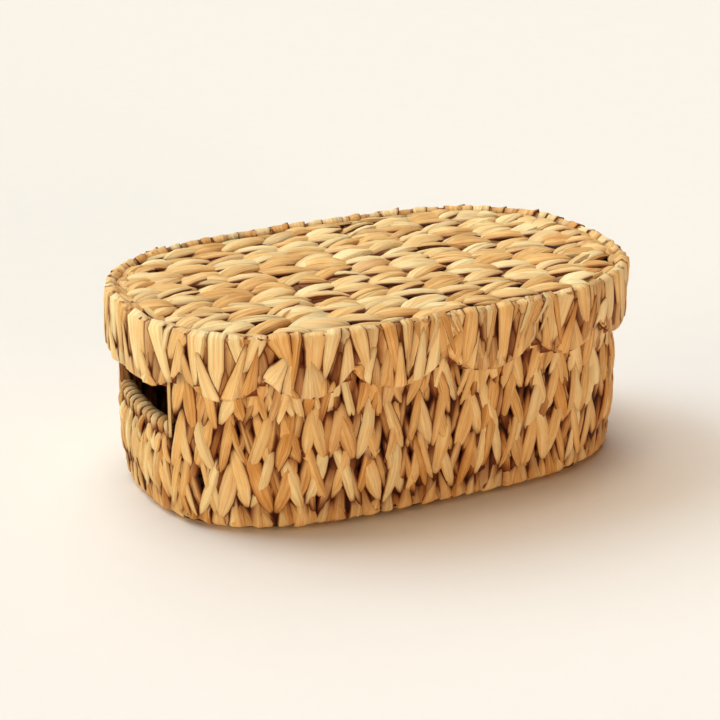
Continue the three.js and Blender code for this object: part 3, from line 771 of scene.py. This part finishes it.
def foot_strands(weave, sheet, pitch, wide, shortest, longest, deep=0.0):
    """The turned ends that stand on the foot."""
    count = round(sheet.ring.length / pitch)
    base = FOOT_RUN - 2
    for i in range(count):
        u = sheet.ring.length * i / count + weave.vary(2.0)
        rise = weave.random.uniform(shortest, longest)
        v = np.interp(STEPS, [0, 0.35, 0.52, 1], [base - 10, base + 2, base + 11, base + rise])
        taper = np.interp(STEPS, [0, 0.35, 0.52, 0.84, 1], [0.95, 0.95, 0.62, 0.3, 0.1])
        width = wide * (1 + weave.vary(0.2)) * taper
        lift = -1.7 - deep + weave.vary(0.4) - np.interp(STEPS, [0.3, 1], [0, 1.6])
        lean = weave.vary(15) * np.maximum(STEPS - 0.3, 0)
        thickness = 4.0 - 1.2 * STEPS
        weave.lay(sheet, u + lean, v, lift, width, thickness, roll=weave.vary(9))


foot = Weave("tub_foot_strands", 13, relief=0.85)
foot_strands(foot, outside, pitch=12.8, wide=17.0, shortest=30, longest=50)
foot_strands(foot, outside, pitch=11.4, wide=12.5, shortest=16, longest=26)
foot.finish(straw, "tub", "straw", "tub_wall_weave")

# %% [markdown]
# ## A second layer
#
# Between two floats the eye reaches the strands behind, never a flat ground. A deeper
# layer of the same weave, half a column along, gives the gaps their depth for the price of a
# few more copies. Its darker tones, and the sink that darkens it further, are painted shade,
# since it lies behind the floats.

# %% Weave the wall's second layer
behind = Wrap(Ring(WALL_SHEET - 1.9), [(0, 6), (1.4, 58), (-2.0, WALL_TOP)], FOOT_CORNER)
# Darker tones and sunk=2.6 paint shade into the layer behind the floats.
second = Weave("tub_second_layer", 14, (0.0, 0.65), relief=0.85, sunk=2.6)
weave_wall(second, behind, OUTSIDE_ROWS, V_COLUMNS, width=9.6, offset=0.0)
foot_strands(second, outside, pitch=9.0, wide=12.0, shortest=20, longest=30, deep=1.4)
second.finish(straw, "tub", "straw", "tub_wall_weave")

# %% [markdown]
# ## The inside of the wall
#
# The same strands show on the inner face, where they pass over the stakes. The sheet faces
# inwards, and its rows sit about half a row higher, between the outer ones.

# %% Weave the tub's inside
WALL_INNER = 9.8
INSIDE_ROWS = (-0.4, 0.6, 1.6, 2.6)
inside_ring = Ring(WALL_SHEET - WALL_INNER)
inside = Wrap(inside_ring, [(0, 3), (0, 139)], facing=-1)
# Darker tones and sunk=1.2 paint shade into the inside, which the lid keeps dark.
inner_strands = Weave("tub_inner_strands", 12, (0.0, 0.7), sunk=1.2)
inner_columns = round(inside_ring.length / V_PITCH)
weave_wall(inner_strands, inside, INSIDE_ROWS, inner_columns, width=12.0)
inner_strands.finish(straw, "tub", "straw", "tub_wall_weave")

# %% [markdown]
# ## What fills the gaps
#
# A grid bent round the outline, with the hand holes left out of it and a thickness given
# by solidify, closes the wall between its two faces. A tube cut by a boolean would do as
# well, but a grid whose lines already run along the holes' edges needs no cut.

# %% A grid bent round the basket


def bent_grid(name, columns, rows, place, thickness, hole=lambda u, v: False):
    """A closed sheet round the basket: place(u, v) sets points, hole(u, v) leaves faces out."""
    bm = bmesh.new()
    nu, nv = len(columns) - 1, len(rows) - 1
    bmesh.ops.create_grid(bm, x_segments=nu, y_segments=nv, size=1)
    where = {}
    for vert in bm.verts:
        i, j = round((vert.co.x + 1) / 2 * nu), round((vert.co.y + 1) / 2 * nv)
        where[vert] = (columns[i], rows[j])
    middles = {f: np.mean([where[v] for v in f.verts], axis=0) for f in bm.faces}
    left_out = [f for f, middle in middles.items() if hole(*middle)]
    bmesh.ops.delete(bm, geom=left_out, context="FACES")
    for vert in bm.verts:
        vert.co = Vector(place(*where[vert])) * MM
    bmesh.ops.remove_doubles(bm, verts=bm.verts, dist=0.01 * MM)
    bmesh.ops.solidify(bm, geom=bm.faces[:], thickness=thickness * MM)
    bmesh.ops.recalc_face_normals(bm, faces=bm.faces)
    return mesh_from(bm, name)


def round_columns(ring, count, extra=()):
    """Even places round a ring, with some more of them."""
    places = np.concatenate([np.linspace(0, ring.length, count), extra])
    return np.unique(places.round(3))


# %% The wall's shaded core
HOLE_MARGIN = 1.5
HOLE_HALF = HANDLE_HALF + HOLE_MARGIN
HOLE_LOW, HOLE_HIGH = SILL - HOLE_MARGIN, HEAD + HOLE_MARGIN
CORE_ROWS = [3.5, 12, 40, HOLE_LOW, 95, HOLE_HIGH, 138]
core_ring = Ring(-14.0)


def in_hand_hole(u, v):
    """Whether a place on the core lies in a hand hole."""
    return core_ring.from_end(u) < HOLE_HALF and HOLE_LOW < v < HOLE_HIGH


ends = (0, core_ring.length / 2)
hole_edges = [(end + side * HOLE_HALF) % core_ring.length for end in ends for side in (-1, 1)]
core_columns = round_columns(core_ring, 121, hole_edges)
core = bent_grid(
    "tub_wall_core", core_columns, CORE_ROWS, core_ring.place, thickness=2.0, hole=in_hand_hole
)
# The core wears the shaded weave: a dark sheet whose browns are painted shade for the gaps.
place_piece(core, shaded_weave, "tub", "straw", "tub_wall_weave")

# %% [markdown]
# ## Rims and bound edges
#
# Over a rim the strands are folded: each comes up one face, lies over the wire and goes
# down the other. A torus with grooves would look tidy, but a real rim is a row of separate
# folds that never quite line up, so `fold_row` lays them one by one over a profile.

# %% A row of folds
FOLD_WIDTH = np.array([0.8, 0.92, 1.0, 1.0, 1.0, 1.0, 1.0, 0.92, 0.8])
FOLD_STEPS = np.array([0, 0.2, 0.3, 0.39, 0.5, 0.61, 0.7, 0.8, 1.0])
FOLD_SINK = 1.6


def fold_row(weave, sheet, start, stop, pitch, width, thickness, drift=2.5):
    """Strands side by side that follow a sheet's whole profile, from start to stop round it."""
    count = round((stop - start) / pitch)
    v = sheet.reach * FOLD_STEPS
    for i in range(count):
        u = start + (stop - start) * (i + 0.5) / count + weave.vary(0.8)
        lean = weave.vary(drift)
        sink = FOLD_SINK * np.abs(2 * STEPS - 1) ** 6
        lift = -thickness / 2 - sink + weave.vary(0.3)
        wide = width * (1 + weave.vary(0.15)) * FOLD_WIDTH
        u = u + lean * (STEPS - 0.5) * 2
        weave.lay(sheet, u, v, lift, wide, thickness, roll=weave.vary(5))


# %% Fold strands over the tub's rim
RIM_HALF = 4.6
ROLL_LOW = ROLL_BOTTOM - 3
rim_ring = Ring(-14.9)
over_rim = [(-RIM_HALF, ROLL_LOW), (-RIM_HALF, TUB_TOP), (RIM_HALF, TUB_TOP), (RIM_HALF, ROLL_LOW)]
rim_fold = Wrap(rim_ring, over_rim, radius=4.0, facing=-1)
rim_strands = Weave("tub_rim_strands", 21)
fold_row(rim_strands, rim_fold, 0, rim_ring.length, pitch=11.0, width=12.4, thickness=2.4)
rim_strands.finish(pale_straw, "tub", "pale_straw", "tub_rim_roll")

# %% [markdown]
# ## The hand holes
#
# The sill and the head are bound with turns of strand, rounder than those on the rim. The
# sides of a hole are plain strips that stand against its edge. The wall's thickness shows
# there, so more strips line it, on a third kind of sheet that stands across the wall.

# %% A sheet that stands across the wall


class Jamb:
    """The side of a hand hole: u goes from the outer face to the inner one, v is the height."""

    def __init__(self, ring, distance, facing):
        spot, outward = ring.at(np.array([distance]))
        self.spot, self.outward = spot[0], outward[0]
        self.normal = np.array([-self.outward[1], self.outward[0]]) * facing

    def at(self, u, v, lift):
        """Places and outward directions."""
        flat = self.spot - self.outward * u[:, None] + self.normal * lift[:, None]
        places = np.concatenate([flat, v[:, None]], 1)
        return places, np.tile([*self.normal, 0.0], (len(u), 1))


# %% Bind the hand holes


def bind_jamb(weave, ring, edge, side):
    """The strips at one side of a hand hole: three across the wall, one on each face."""
    jamb = Jamb(ring, edge, side)
    height = SILL - 6 + (HEAD - SILL + 12) * STEPS
    for depth, width in ((1.6, 5.2), (5.8, 5.6), (9.6, 5.4)):
        lift = -0.9 + weave.vary(0.3)
        weave.lay(jamb, depth, height, lift, width, thickness=2.4, roll=weave.vary(8))
    face = Wrap(ring, [(1.2, SILL - 10), (1.2, HEAD + 8)])
    strip = dict(lift=-0.9, width=3.4, thickness=2.6, roll=side * 6, tone=0.9)
    weave.lay(face, edge + side * 1.0, face.reach * STEPS, **strip)
    inner = Wrap(ring, [(-10.6, SILL - 8), (-10.6, HEAD + 8)], facing=-1)
    strip = dict(lift=-1.0, width=5.4, thickness=2.4, tone=0.6)
    weave.lay(inner, edge + side * 2.2, inner.reach * STEPS, **strip)


def bind_hand_hole(name, seed, middle, node):
    """The bound edge of one hand hole."""
    weave, ring = Weave(name, seed), outside_ring
    over_sill = [(1.3, SILL - 13), (1.6, SILL + 0.4), (-12.2, SILL + 0.4), (-12.2, SILL - 13)]
    under_head = [(-11.4, HEAD + 12), (-11.4, HEAD - 0.2), (0.9, HEAD - 0.2), (0.5, HEAD + 12)]
    span = (middle - HANDLE_HALF - 1, middle + HANDLE_HALF + 1)
    sill, head = Wrap(ring, over_sill, radius=6.8), Wrap(ring, under_head, radius=5.0)
    fold_row(weave, sill, *span, pitch=8.2, width=9.4, thickness=4.2, drift=2.0)
    fold_row(weave, head, *span, pitch=10.2, width=11.4, thickness=3.4, drift=2.0)
    for side in (-1, 1):
        bind_jamb(weave, ring, middle + side * HANDLE_HALF, side)
    weave.finish(pale_straw, "tub", "pale_straw", node)


bind_hand_hole("right_hand_hole_strands", 31, 0.0, "right_handle_binding")
bind_hand_hole("left_hand_hole_strands", 32, outside_ring.length / 2, "left_handle_binding")

# %% [markdown]
# ## Level panels
#
# The lid and the floor have the same chevrons, laid along the basket over cross bars. Their
# V shapes point to the right end. The rows could be laid on an oblong and cut to the
# outline, but a cut strand shows a hollow end, so each arm is shortened or pulled in before
# it is laid.

# %% Rows over a level panel
SHORTEST_ARM, LEAST_ARM = 0.2, 0.62  # left out below the first share, stretched to the second
ARM_START, ARM_SPREAD = 0.05, 0.56  # across a pair of rows, as shares of its width
EDGE_ROOM = 0.42  # how much of its width an arm keeps from the edge


def weave_panel(weave, sheet, outset, pairs, pitch, length, width, proud=1.0, thickness=5.0):
    """Chevron rows over a level panel, kept inside its edge."""
    ring = Ring(outset)
    half_width = ring.edge[:, 1].max()
    spacing = 2 * half_width / pairs
    for pair in range(pairs):
        centre = -half_width + spacing * (pair + 0.5)
        shift = weave.vary(2.5)
        for side in (-1, 1):
            start = centre + side * spacing * ARM_START
            reach = ring.half_reach(0, abs(centre + side * spacing / 4) + spacing / 4) - 2
            columns = int((2 * reach + pitch) // pitch) + 1
            for column in range(-columns, columns + 1):
                tip = column * pitch + shift + length / 2
                low, high = max(tip - length, -reach), min(tip, reach)
                if high - low < SHORTEST_ARM * length:
                    continue
                least = LEAST_ARM * length
                if high - low < least:
                    low, high = (high - least, high) if high < tip else (low, low + least)
                room = ring.half_reach(1, high - 0.6 * (high - low)) - EDGE_ROOM * width
                far = start + side * spacing * ARM_SPREAD * (high - low) / length
                far = float(np.clip(far, -room, room))
                if abs(start) < room + 3:
                    run = (-(high - low), far - start)
                    chevron_arm(weave, sheet, high, start, *run, width, proud, thickness)


def make_panel(weave, body, node, height, facing=1, **rows):
    """One face of a panel, from its weave and how its rows are laid."""
    weave_panel(weave, Flat(height, facing), **rows)
    weave.finish(straw, body, "straw", node)


# %% Weave the lid's top
ON_LID = ("lid", "lid_top_weave")
make_panel(
    Weave("lid_top_strands", 41, (0.15, 1.0), relief=2.2), *ON_LID, LID_TOP - 1.6,
    outset=-5.0, pairs=8, pitch=31.6, length=50.0, width=18.6, proud=1.5, thickness=6.6,
)
# The lid's second layer gets darker tones and a deep sink: painted shade in the gaps between the
# top floats.
make_panel(
    Weave("lid_second_layer", 45, (0.0, 0.7), relief=1.8, sunk=4.0), *ON_LID, LID_TOP - 3.6,
    outset=-6.0, pairs=9, pitch=30.0, length=44.0, width=18.0, proud=0.6, thickness=4.6,
)

# %% [markdown]
# ## The lid's border
#
# The rows leave notches along the rim. The weaver fills them with ends that run with the
# rim, so a few flat floats are laid there, round the outline and not along the basket.

# %% Fill the lid's border
BORDER_STRANDS = 66
BORDER_HEIGHT = LID_TOP - 2.2
border_sheet = Wrap(lid_ring, [(-6, BORDER_HEIGHT), (-26, BORDER_HEIGHT)])
lid_border = Weave("lid_border_strands", 46, (0.1, 0.9), relief=1.6)
for i in range(BORDER_STRANDS):
    u = lid_ring.length * i / BORDER_STRANDS + lid_border.vary(4)
    u = u + lid_border.random.uniform(26, 40) * (STEPS - 0.5)
    v = lid_border.random.uniform(3.5, 11) + lid_border.vary(7) * (STEPS - 0.5)
    lift = FLOAT_LIFT * 0.5 - 1.8 + lid_border.vary(0.7)
    width, roll = FLOAT_WIDTH * 9.5, lid_border.vary(16)
    lid_border.lay(border_sheet, u, v, lift, width, thickness=4.0, roll=roll)
lid_border.finish(straw, "lid", "straw", "lid_top_weave")

# %% [markdown]
# ## The lid's underside and the floor
#
# The faces that look down or into the tub are woven the same way, in nine pairs of rows, and
# without a second layer, because they are seen only with the lid up or from below.

# %% Weave the other panels
ON_FLOOR = ("tub", "tub_floor_weave")
make_panel(
    Weave("lid_under_strands", 42), *ON_LID, PANEL_BOTTOM + 0.9, facing=-1,
    outset=-8.6, pairs=9, pitch=32.6, length=48.0, width=15.0, proud=0.6,
)
make_panel(
    Weave("floor_inner_strands", 43), *ON_FLOOR, FLOOR_TOP + 0.2,
    outset=-19.7, pairs=9, pitch=30.0, length=46.0, width=14.4, proud=0.7,
)
make_panel(
    Weave("floor_under_strands", 44), *ON_FLOOR, 3.1, facing=-1,
    outset=-17.0, pairs=9, pitch=30.0, length=46.0, width=14.6, proud=0.7,
)

# %% [markdown]
# ## The panels' shaded cores
#
# A plate between the two faces closes each panel, as the core closes the wall. A filled
# circle is pulled to the outline and extruded once, which keeps the plate to one strip of
# faces round its edge.

# %% The lid's and the floor's cores
CORE_SEGMENTS = 144


def core_panel(name, ring, low, high):
    """A flat plate with the outline's shape."""
    bm = bmesh.new()
    made = bmesh.ops.create_circle(bm, cap_ends=True, radius=1, segments=CORE_SEGMENTS)
    spots, _ = ring.at(np.arange(CORE_SEGMENTS) / CORE_SEGMENTS * ring.length)
    for vert, (x, y) in zip(made["verts"], spots):
        vert.co = Vector((x, y, low)) * MM
    lifted = bmesh.ops.extrude_face_region(bm, geom=bm.faces[:])["geom"]
    raised = [v for v in lifted if isinstance(v, bmesh.types.BMVert)]
    bmesh.ops.translate(bm, verts=raised, vec=(0, 0, (high - low) * MM))
    bmesh.ops.recalc_face_normals(bm, faces=bm.faces)
    return mesh_from(bm, name)


lid_core = core_panel("lid_core", Ring(-4.8), low=PANEL_BOTTOM + 2.6, high=LID_TOP - 5.6)
place_piece(lid_core, shaded_weave, "lid", "straw", "lid_top_weave")
floor_core = core_panel("floor_core", Ring(-18.5), low=3.6, high=FLOOR_TOP - 3.2)
place_piece(floor_core, shaded_weave, "tub", "straw", "tub_floor_weave")

# %% [markdown]
# ## The skirt's scalloped edge
#
# A wire bent into arcs that meet in cusps carries the skirt's lower edge: one long scallop
# at each end and six of unequal width along each side. Any number of curves could be drawn
# for it, but the strands only ever ask how high the edge is at one place, so one function,
# `scallop`, answers that.

# %% The scalloped edge
END_SCALLOP = 146
SIDE_SHARES = [0.95, 0.9, 1.12, 1.11, 0.97, 0.95]  # from the left end; 1 is the mean
SCALLOP_DEPTH = 19.5
MEAN_SCALLOP = (lid_ring.length / 2 - END_SCALLOP) / len(SIDE_SHARES)
side_widths = MEAN_SCALLOP * np.array(SIDE_SHARES)
scallop_widths = np.array([END_SCALLOP, *side_widths[::-1], END_SCALLOP, *side_widths])
cusps = np.concatenate([[0], np.cumsum(scallop_widths)])


def scallop(u):
    """The height of the edge at a distance round it. The ends' scallops have a flat middle."""
    place = np.mod(np.asarray(u, float) + END_SCALLOP / 2, lid_ring.length)
    which = np.clip(np.searchsorted(cusps, place, side="right") - 1, 0, len(scallop_widths) - 1)
    width = scallop_widths[which]
    flat = np.where(width == END_SCALLOP, END_SCALLOP - MEAN_SCALLOP, 0)
    x = np.maximum(np.abs(place - cusps[which] - width / 2) - flat / 2, 0)
    half = (width - flat) / 2
    radius = (half**2 + SCALLOP_DEPTH**2) / (2 * SCALLOP_DEPTH)
    return LID_EDGE_LOW + radius - np.sqrt(np.maximum(radius**2 - x**2, 0))


print(f"{len(scallop_widths)} scallops, {min(side_widths):.0f} to {END_SCALLOP} mm wide")

# %% [markdown]
# ## The lid's skirt
#
# The lid's strands are folded over its rim and hang down. Wide ones hang from the rim and
# taper, and between them others stand up from the scalloped wire and taper the other way,
# so the skirt is a row of long triangles. One band with grooves could never show that they
# cross. Each is turned a little, so that it overlaps the next one like a tile.

# %% The skirt's two sheets
RIM_INSET = 10.0
RIM_RISE = 1.6  # how far the folds stand above the lid's rim
BULGE = 1.0
HEM_TALL = 45.0
rim_height = LID_TOP + RIM_RISE
skirt_profile = [(-RIM_INSET, LID_TOP - 5), (-7, rim_height), (0, rim_height)]
skirt = Wrap(lid_ring, [*skirt_profile, (BULGE, LID_EDGE_LOW - 2)], radius=4.5, facing=-1)
hem_profile = [(BULGE, HEM_TALL), (BULGE, 0.2), (-5.6, 0.2), (-5.6, 14)]
hem = Wrap(lid_ring, hem_profile, radius=2.2, facing=-1, base=scallop)
print(f"from the rim's fold to the edge the skirt's sheet is {skirt.reach:.0f} mm")

# %% Two ways to lay a skirt strand
FOLDED = 15.0  # how much of a strand lies on the lid's rim
TILE_TURN = 4
TILE_CHANGE = 0.62 * lid_ring.length
SKIRT_THICKNESS = 2.4


def tile_turn(u):
    """How many degrees a strand is turned, so that both ends' tiles lap away from the front."""
    return TILE_TURN if u > TILE_CHANGE else -TILE_TURN


def hang_strand(weave, u, width, drop, lean, taper, deep=0.0):
    """A strand folded over the rim that hangs down the skirt and tapers."""
    drop = min(drop, LID_TOP - 1 - float(scallop(u + lean)))
    v = np.interp(STEPS, [0, 0.19, 0.35, 1], [0, 8.5, FOLDED, FOLDED + drop])
    middle = 0.5 + taper / 2 + weave.random.uniform(0, 0.22)
    wide = width * np.interp(STEPS, [0, 0.1, 0.35, 0.69, 1], [0.65, 0.92, 1.04, middle, taper])
    lift = np.interp(STEPS, [0, 0.07, 0.25, 0.5, 0.84, 1], [-1.4, -0.8, -0.8, -0.4, -0.9, -2.0])
    drift = lean * np.interp(STEPS, [0, 0.3, 1], [0, 0.1, 1])
    roll = tile_turn(u) + weave.vary(5) + weave.vary(10) * STEPS
    lift = lift + weave.vary(0.5) - deep
    weave.lay(skirt, u + drift, v, lift, wide, SKIRT_THICKNESS, roll)


def stand_strand(weave, u, width, rise, lean, taper, deep=0.0):
    """A strand that comes round the scalloped wire and stands up, tapering."""
    rise = min(rise, LID_TOP - 4 - float(scallop(u + lean)))
    width = min(width, 0.5 * rise + 4)
    v = np.interp(STEPS, [0, 0.52, 0.69, 1], [HEM_TALL - rise, HEM_TALL - 3, HEM_TALL + 1.5, 56])
    wide = width * np.interp(STEPS, [0, 0.52, 1], [taper, 1, 0.9])
    lift = np.interp(STEPS, [0, 0.07, 0.3, 0.55, 1], [-2.2, -1.1, -0.6, -1.0, -1.4])
    drift = lean * np.interp(STEPS, [0, 0.52, 1], [1, 0, 0])
    roll = (tile_turn(u) + weave.vary(9)) * (1 - STEPS)
    lift = lift + weave.vary(0.3) - deep + weave.random.choice([-0.5, 0.5])
    weave.lay(hem, u + drift, v, lift, wide, SKIRT_THICKNESS, roll)


# %% Hang the skirt
TOOTH_PITCH = 13.8
LONE_SHARE, TRIPLE_SHARE = 0.14, 0.12  # one narrow strand, or three thin ones, at a place
THIN_PITCH = 4.6
END_BLUNTNESS = 0.25
teeth = round(lid_ring.length / TOOTH_PITCH)


def skirt_height(u):
    """How tall the skirt is at a distance round it."""
    return LID_TOP - float(scallop(u))


skirt_strands = Weave("lid_skirt_strands", 51, relief=0.95)
vary, pick = skirt_strands.vary, skirt_strands.random.uniform
for i in range(teeth):
    u = lid_ring.length * (i + 0.5) / teeth + vary(3)
    tall = skirt_height(u)
    kind = pick(0, 1)
    if kind < LONE_SHARE:
        hang_strand(
            skirt_strands, u, pick(9, 13), tall - pick(5, 10), vary(9), taper=0.6, deep=-0.6
        )
    elif kind < LONE_SHARE + TRIPLE_SHARE:
        for side in (-1, 0, 1):
            reach, place = tall * pick(0.45, 0.9), u + side * THIN_PITCH
            hang_strand(
                skirt_strands, place, pick(4.5, 7), reach, vary(9), taper=0.3, deep=vary(0.5)
            )
    else:
        reach = tall * pick(0.6, 0.9)
        blunt = END_BLUNTNESS if lid_ring.from_end(u) < END_SCALLOP / 2 else 0.0
        taper = pick(0.08, 0.3) + blunt
        hang_strand(skirt_strands, u, pick(12, 18.5), reach, vary(15), taper, vary(0.7))
    filler = dict(width=10.0, drop=tall * 0.3, lean=vary(2), taper=0.12, deep=1.3)
    hang_strand(skirt_strands, u + TOOTH_PITCH / 2, **filler)
for i in range(teeth):
    u = lid_ring.length * i / teeth + vary(3)
    rise = min(pick(26, 43), skirt_height(u) * 0.88)
    stand_strand(skirt_strands, u, pick(11.5, 17), rise, vary(13), pick(0.08, 0.34), vary(0.4))
    u, short = u + TOOTH_PITCH / 2 + vary(2), rise * pick(0.2, 0.4)
    stand_strand(skirt_strands, u, 11.0, short, vary(4), taper=0.3, deep=0.6)
print(f"{len(skirt_strands.corners)} strands hang and stand at {teeth} places")

# %% [markdown]
# ## Behind the skirt's strands, and where they gather
#
# A second row of plainer strands closes the gaps. In front, thin ends gather at two places
# and stick out a little, as they do where the weaver joined in new strands.

# %% The skirt's second layer and its tufts
TUFTS = (272, 352)  # from the middle of the left end, along the front
TUFT_STRANDS = 8
PLAIN = dict(width=14.0, taper=0.5, deep=1.3)
# The skirt's second layer gets darker tones and a slight sink: painted shade behind the outer
# strands.
skirt_second = Weave("lid_skirt_second", 53, (0.0, 0.7), relief=1.1, sunk=0.6)
for i in range(teeth):
    u = lid_ring.length * (i + 0.25) / teeth + vary(2)
    tall = skirt_height(u)
    hang_strand(skirt_second, u, drop=tall * 0.75, lean=vary(4), **PLAIN)
    stand_strand(skirt_second, u + TOOTH_PITCH / 2, rise=tall * 0.6, lean=vary(4), **PLAIN)
skirt_second.finish(pale_straw, "lid", "pale_straw", "lid_skirt_weave")
for tuft in TUFTS:
    for _ in range(TUFT_STRANDS):
        u, drop = lid_ring.length / 2 + tuft + vary(11), pick(16, 38)
        hang_strand(
            skirt_strands, u, pick(3.6, 6.4), drop, vary(16), taper=0.4, deep=-pick(0.2, 1.2)
        )
skirt_strands.finish(pale_straw, "lid", "pale_straw", "lid_skirt_weave")

# %% [markdown]
# ## The inside of the skirt
#
# Lift the lid and the skirt's back shows: plain upright strands, side by side. A shaded
# core stands between them and the outer ones, a grid again, whose rows run from the
# scallops up to the lid.

# %% Line the skirt
LINING_PITCH = 11.5
LINING_TOP = PANEL_BOTTOM + 3
skirt_inside = Wrap(Ring(-6.2), [(0, LINING_TOP), (0, LID_EDGE_LOW - 1)])
inner_skirt = Weave("lid_inner_strands", 52)
linings = round(skirt_inside.ring.length / LINING_PITCH)
for i in range(linings):
    share = (i + 0.5) / linings
    drop = LINING_TOP - float(scallop(share * lid_ring.length)) - 1.0
    u = share * skirt_inside.ring.length + inner_skirt.vary(1) + inner_skirt.vary(3) * STEPS
    strip = dict(lift=-1.0, width=12.6, thickness=2.0, roll=inner_skirt.vary(4))
    inner_skirt.lay(skirt_inside, u, drop * STEPS, **strip)
inner_skirt.finish(pale_straw, "lid", "pale_straw", "lid_skirt_weave")

# %% The skirt's shaded core
skirt_core_ring = Ring(-2.6)


def on_skirt(u, v):
    """A place on the skirt's core: v goes from its edge, 0, to its top, 1."""
    low = float(scallop(u / skirt_core_ring.length * lid_ring.length)) + 1.2
    return skirt_core_ring.place(u, low + (PANEL_BOTTOM + 5 - low) * v)


skirt_columns = round_columns(skirt_core_ring, 241)
skirt_core = bent_grid("lid_skirt_core", skirt_columns, [0, 0.5, 1], on_skirt, thickness=1.4)
place_piece(skirt_core, shaded_weave, "lid", "straw", "lid_skirt_weave")

# %% [markdown]
# ## The floor
#
# The basket stands on a pale seamless floor, a plain grid with a matte, barely mottled
# paper finish.

# %% Floor
FLOOR_SIZE = 12.0


def floor_material():
    """Pale matte paper."""
    material, shader, start = new_material("pale_paper", 0.95, gloss=0.1)
    grain = noise(object_place(start), scale=40.0)
    feed(shader, "Base Color", grain.mix(paint(238, 230, 221), paint(240, 232, 223)))
    return material


bm = bmesh.new()
bmesh.ops.create_grid(bm, x_segments=1, y_segments=1, size=FLOOR_SIZE / 2)
floor = add_object("floor", mesh_from(bm, "floor"))
floor.data.materials.append(floor_material())
floor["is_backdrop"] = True
print(f"the floor is {FLOOR_SIZE:.0f} m square")

# %% [markdown]
# ## The backdrop
#
# Only camera rays see the backdrop's own colour. A bright room would light the object from
# all sides and flatten it, so all other rays meet a room that adds just a little light.

# %% Backdrop
ROOM_COLOUR = (1.0, 0.87, 0.77, 1)
ROOM_STRENGTH = 0.04
world = bpy.data.worlds.new("room")
bpy.context.scene.world = world
world.use_nodes = True
tree = world.node_tree
room = tree.nodes["Background"]
room.inputs["Color"].default_value = ROOM_COLOUR
room.inputs["Strength"].default_value = ROOM_STRENGTH
backdrop = tree.nodes.new("ShaderNodeBackground")
backdrop.inputs["Color"].default_value = paint(252, 247, 237)
seen = tree.nodes.new("ShaderNodeLightPath")
mix = tree.nodes.new("ShaderNodeMixShader")
tree.links.new(seen.outputs["Is Camera Ray"], mix.inputs[0])
tree.links.new(room.outputs[0], mix.inputs[1])
tree.links.new(backdrop.outputs[0], mix.inputs[2])
tree.links.new(mix.outputs[0], tree.nodes["World Output"].inputs[0])
print("world nodes:", [node.name for node in tree.nodes])

# %% [markdown]
# ## Light
#
# Five soft lamps: a cool window behind and to the left, two high up that keep the lid
# bright, and two warm, low ones to the left and in front that lift the walls but hardly
# reach the floor. One large lamp would be simpler, but then the floor would be as bright
# beside the foot as anywhere. With these it is darkest along the foot, as it is in a room.

# %% Lamps


def toward(azimuth, elevation):
    """The way to something. Azimuth 0 is behind the basket, -90 left of it, 180 in front."""
    a, e = np.radians(azimuth), np.radians(elevation)
    return Vector((np.sin(a) * np.cos(e), np.cos(a) * np.cos(e), np.sin(e)))


def aim(holder, back):
    """Turns a lamp or camera to look away from the direction back."""
    holder.rotation_euler = back.to_track_quat("Z", "Y").to_euler()


def soft_sun(name, azimuth, elevation, strength, softness, colour):
    """A sun lamp on this side. Its softness is the angle that it fills, in degrees."""
    lamp = bpy.data.lights.new(name, "SUN")
    lamp.energy, lamp.angle, lamp.color = strength, np.radians(softness), colour
    aim(add_object(name, lamp), toward(azimuth, elevation))
    print(f"lamp {name}: strength {strength}, {softness} degrees wide")


# name, azimuth, elevation, strength, softness, colour
soft_sun("window", -43, 43, 1.62, 36, (0.65, 0.835, 1.0))
soft_sun("back", 0, 60, 1.72, 60, (0.95, 1.0, 1.0))
soft_sun("top", 0, 88, 0.88, 30, (1.0, 0.83, 0.675))
soft_sun("left", -90, 10, 1.53, 40, (1.0, 0.9, 0.6))
soft_sun("front", 180, 4, 1.56, 20, (1.0, 0.67, 0.42))

# %% [markdown]
# ## The camera
#
# It stands where the photograph was taken from: to the front left, a little above, and far
# enough away for a long lens, which keeps the basket's sides nearly parallel.

# %% Camera
VIEW_AZIMUTH, VIEW_ELEVATION = -153.44, 20.9
VIEW_DISTANCE = 1599.4
VIEW_TARGET = Vector((-7.5, 3.4, 75.9))
LENS, SENSOR = 103.42, 36
FARTHEST = 50  # in metres
back = toward(VIEW_AZIMUTH, VIEW_ELEVATION)
camera_data = bpy.data.cameras.new("camera")
camera_data.lens, camera_data.sensor_width, camera_data.clip_end = LENS, SENSOR, FARTHEST
camera = add_object("camera", camera_data)
camera.location = (VIEW_TARGET + back * VIEW_DISTANCE) * MM
aim(camera, back)
bpy.context.scene.camera = camera
bpy.context.scene.view_settings.view_transform = "Standard"
print(f"camera {VIEW_DISTANCE / 1000:.2f} m away, {LENS:.0f} mm lens")

# %% Finish
shown_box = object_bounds()
for name, (low, high) in {"cad": cad_box, "shown": shown_box}.items():
    print(name, [round(v / MM, 1) for v in (*low, *high)])
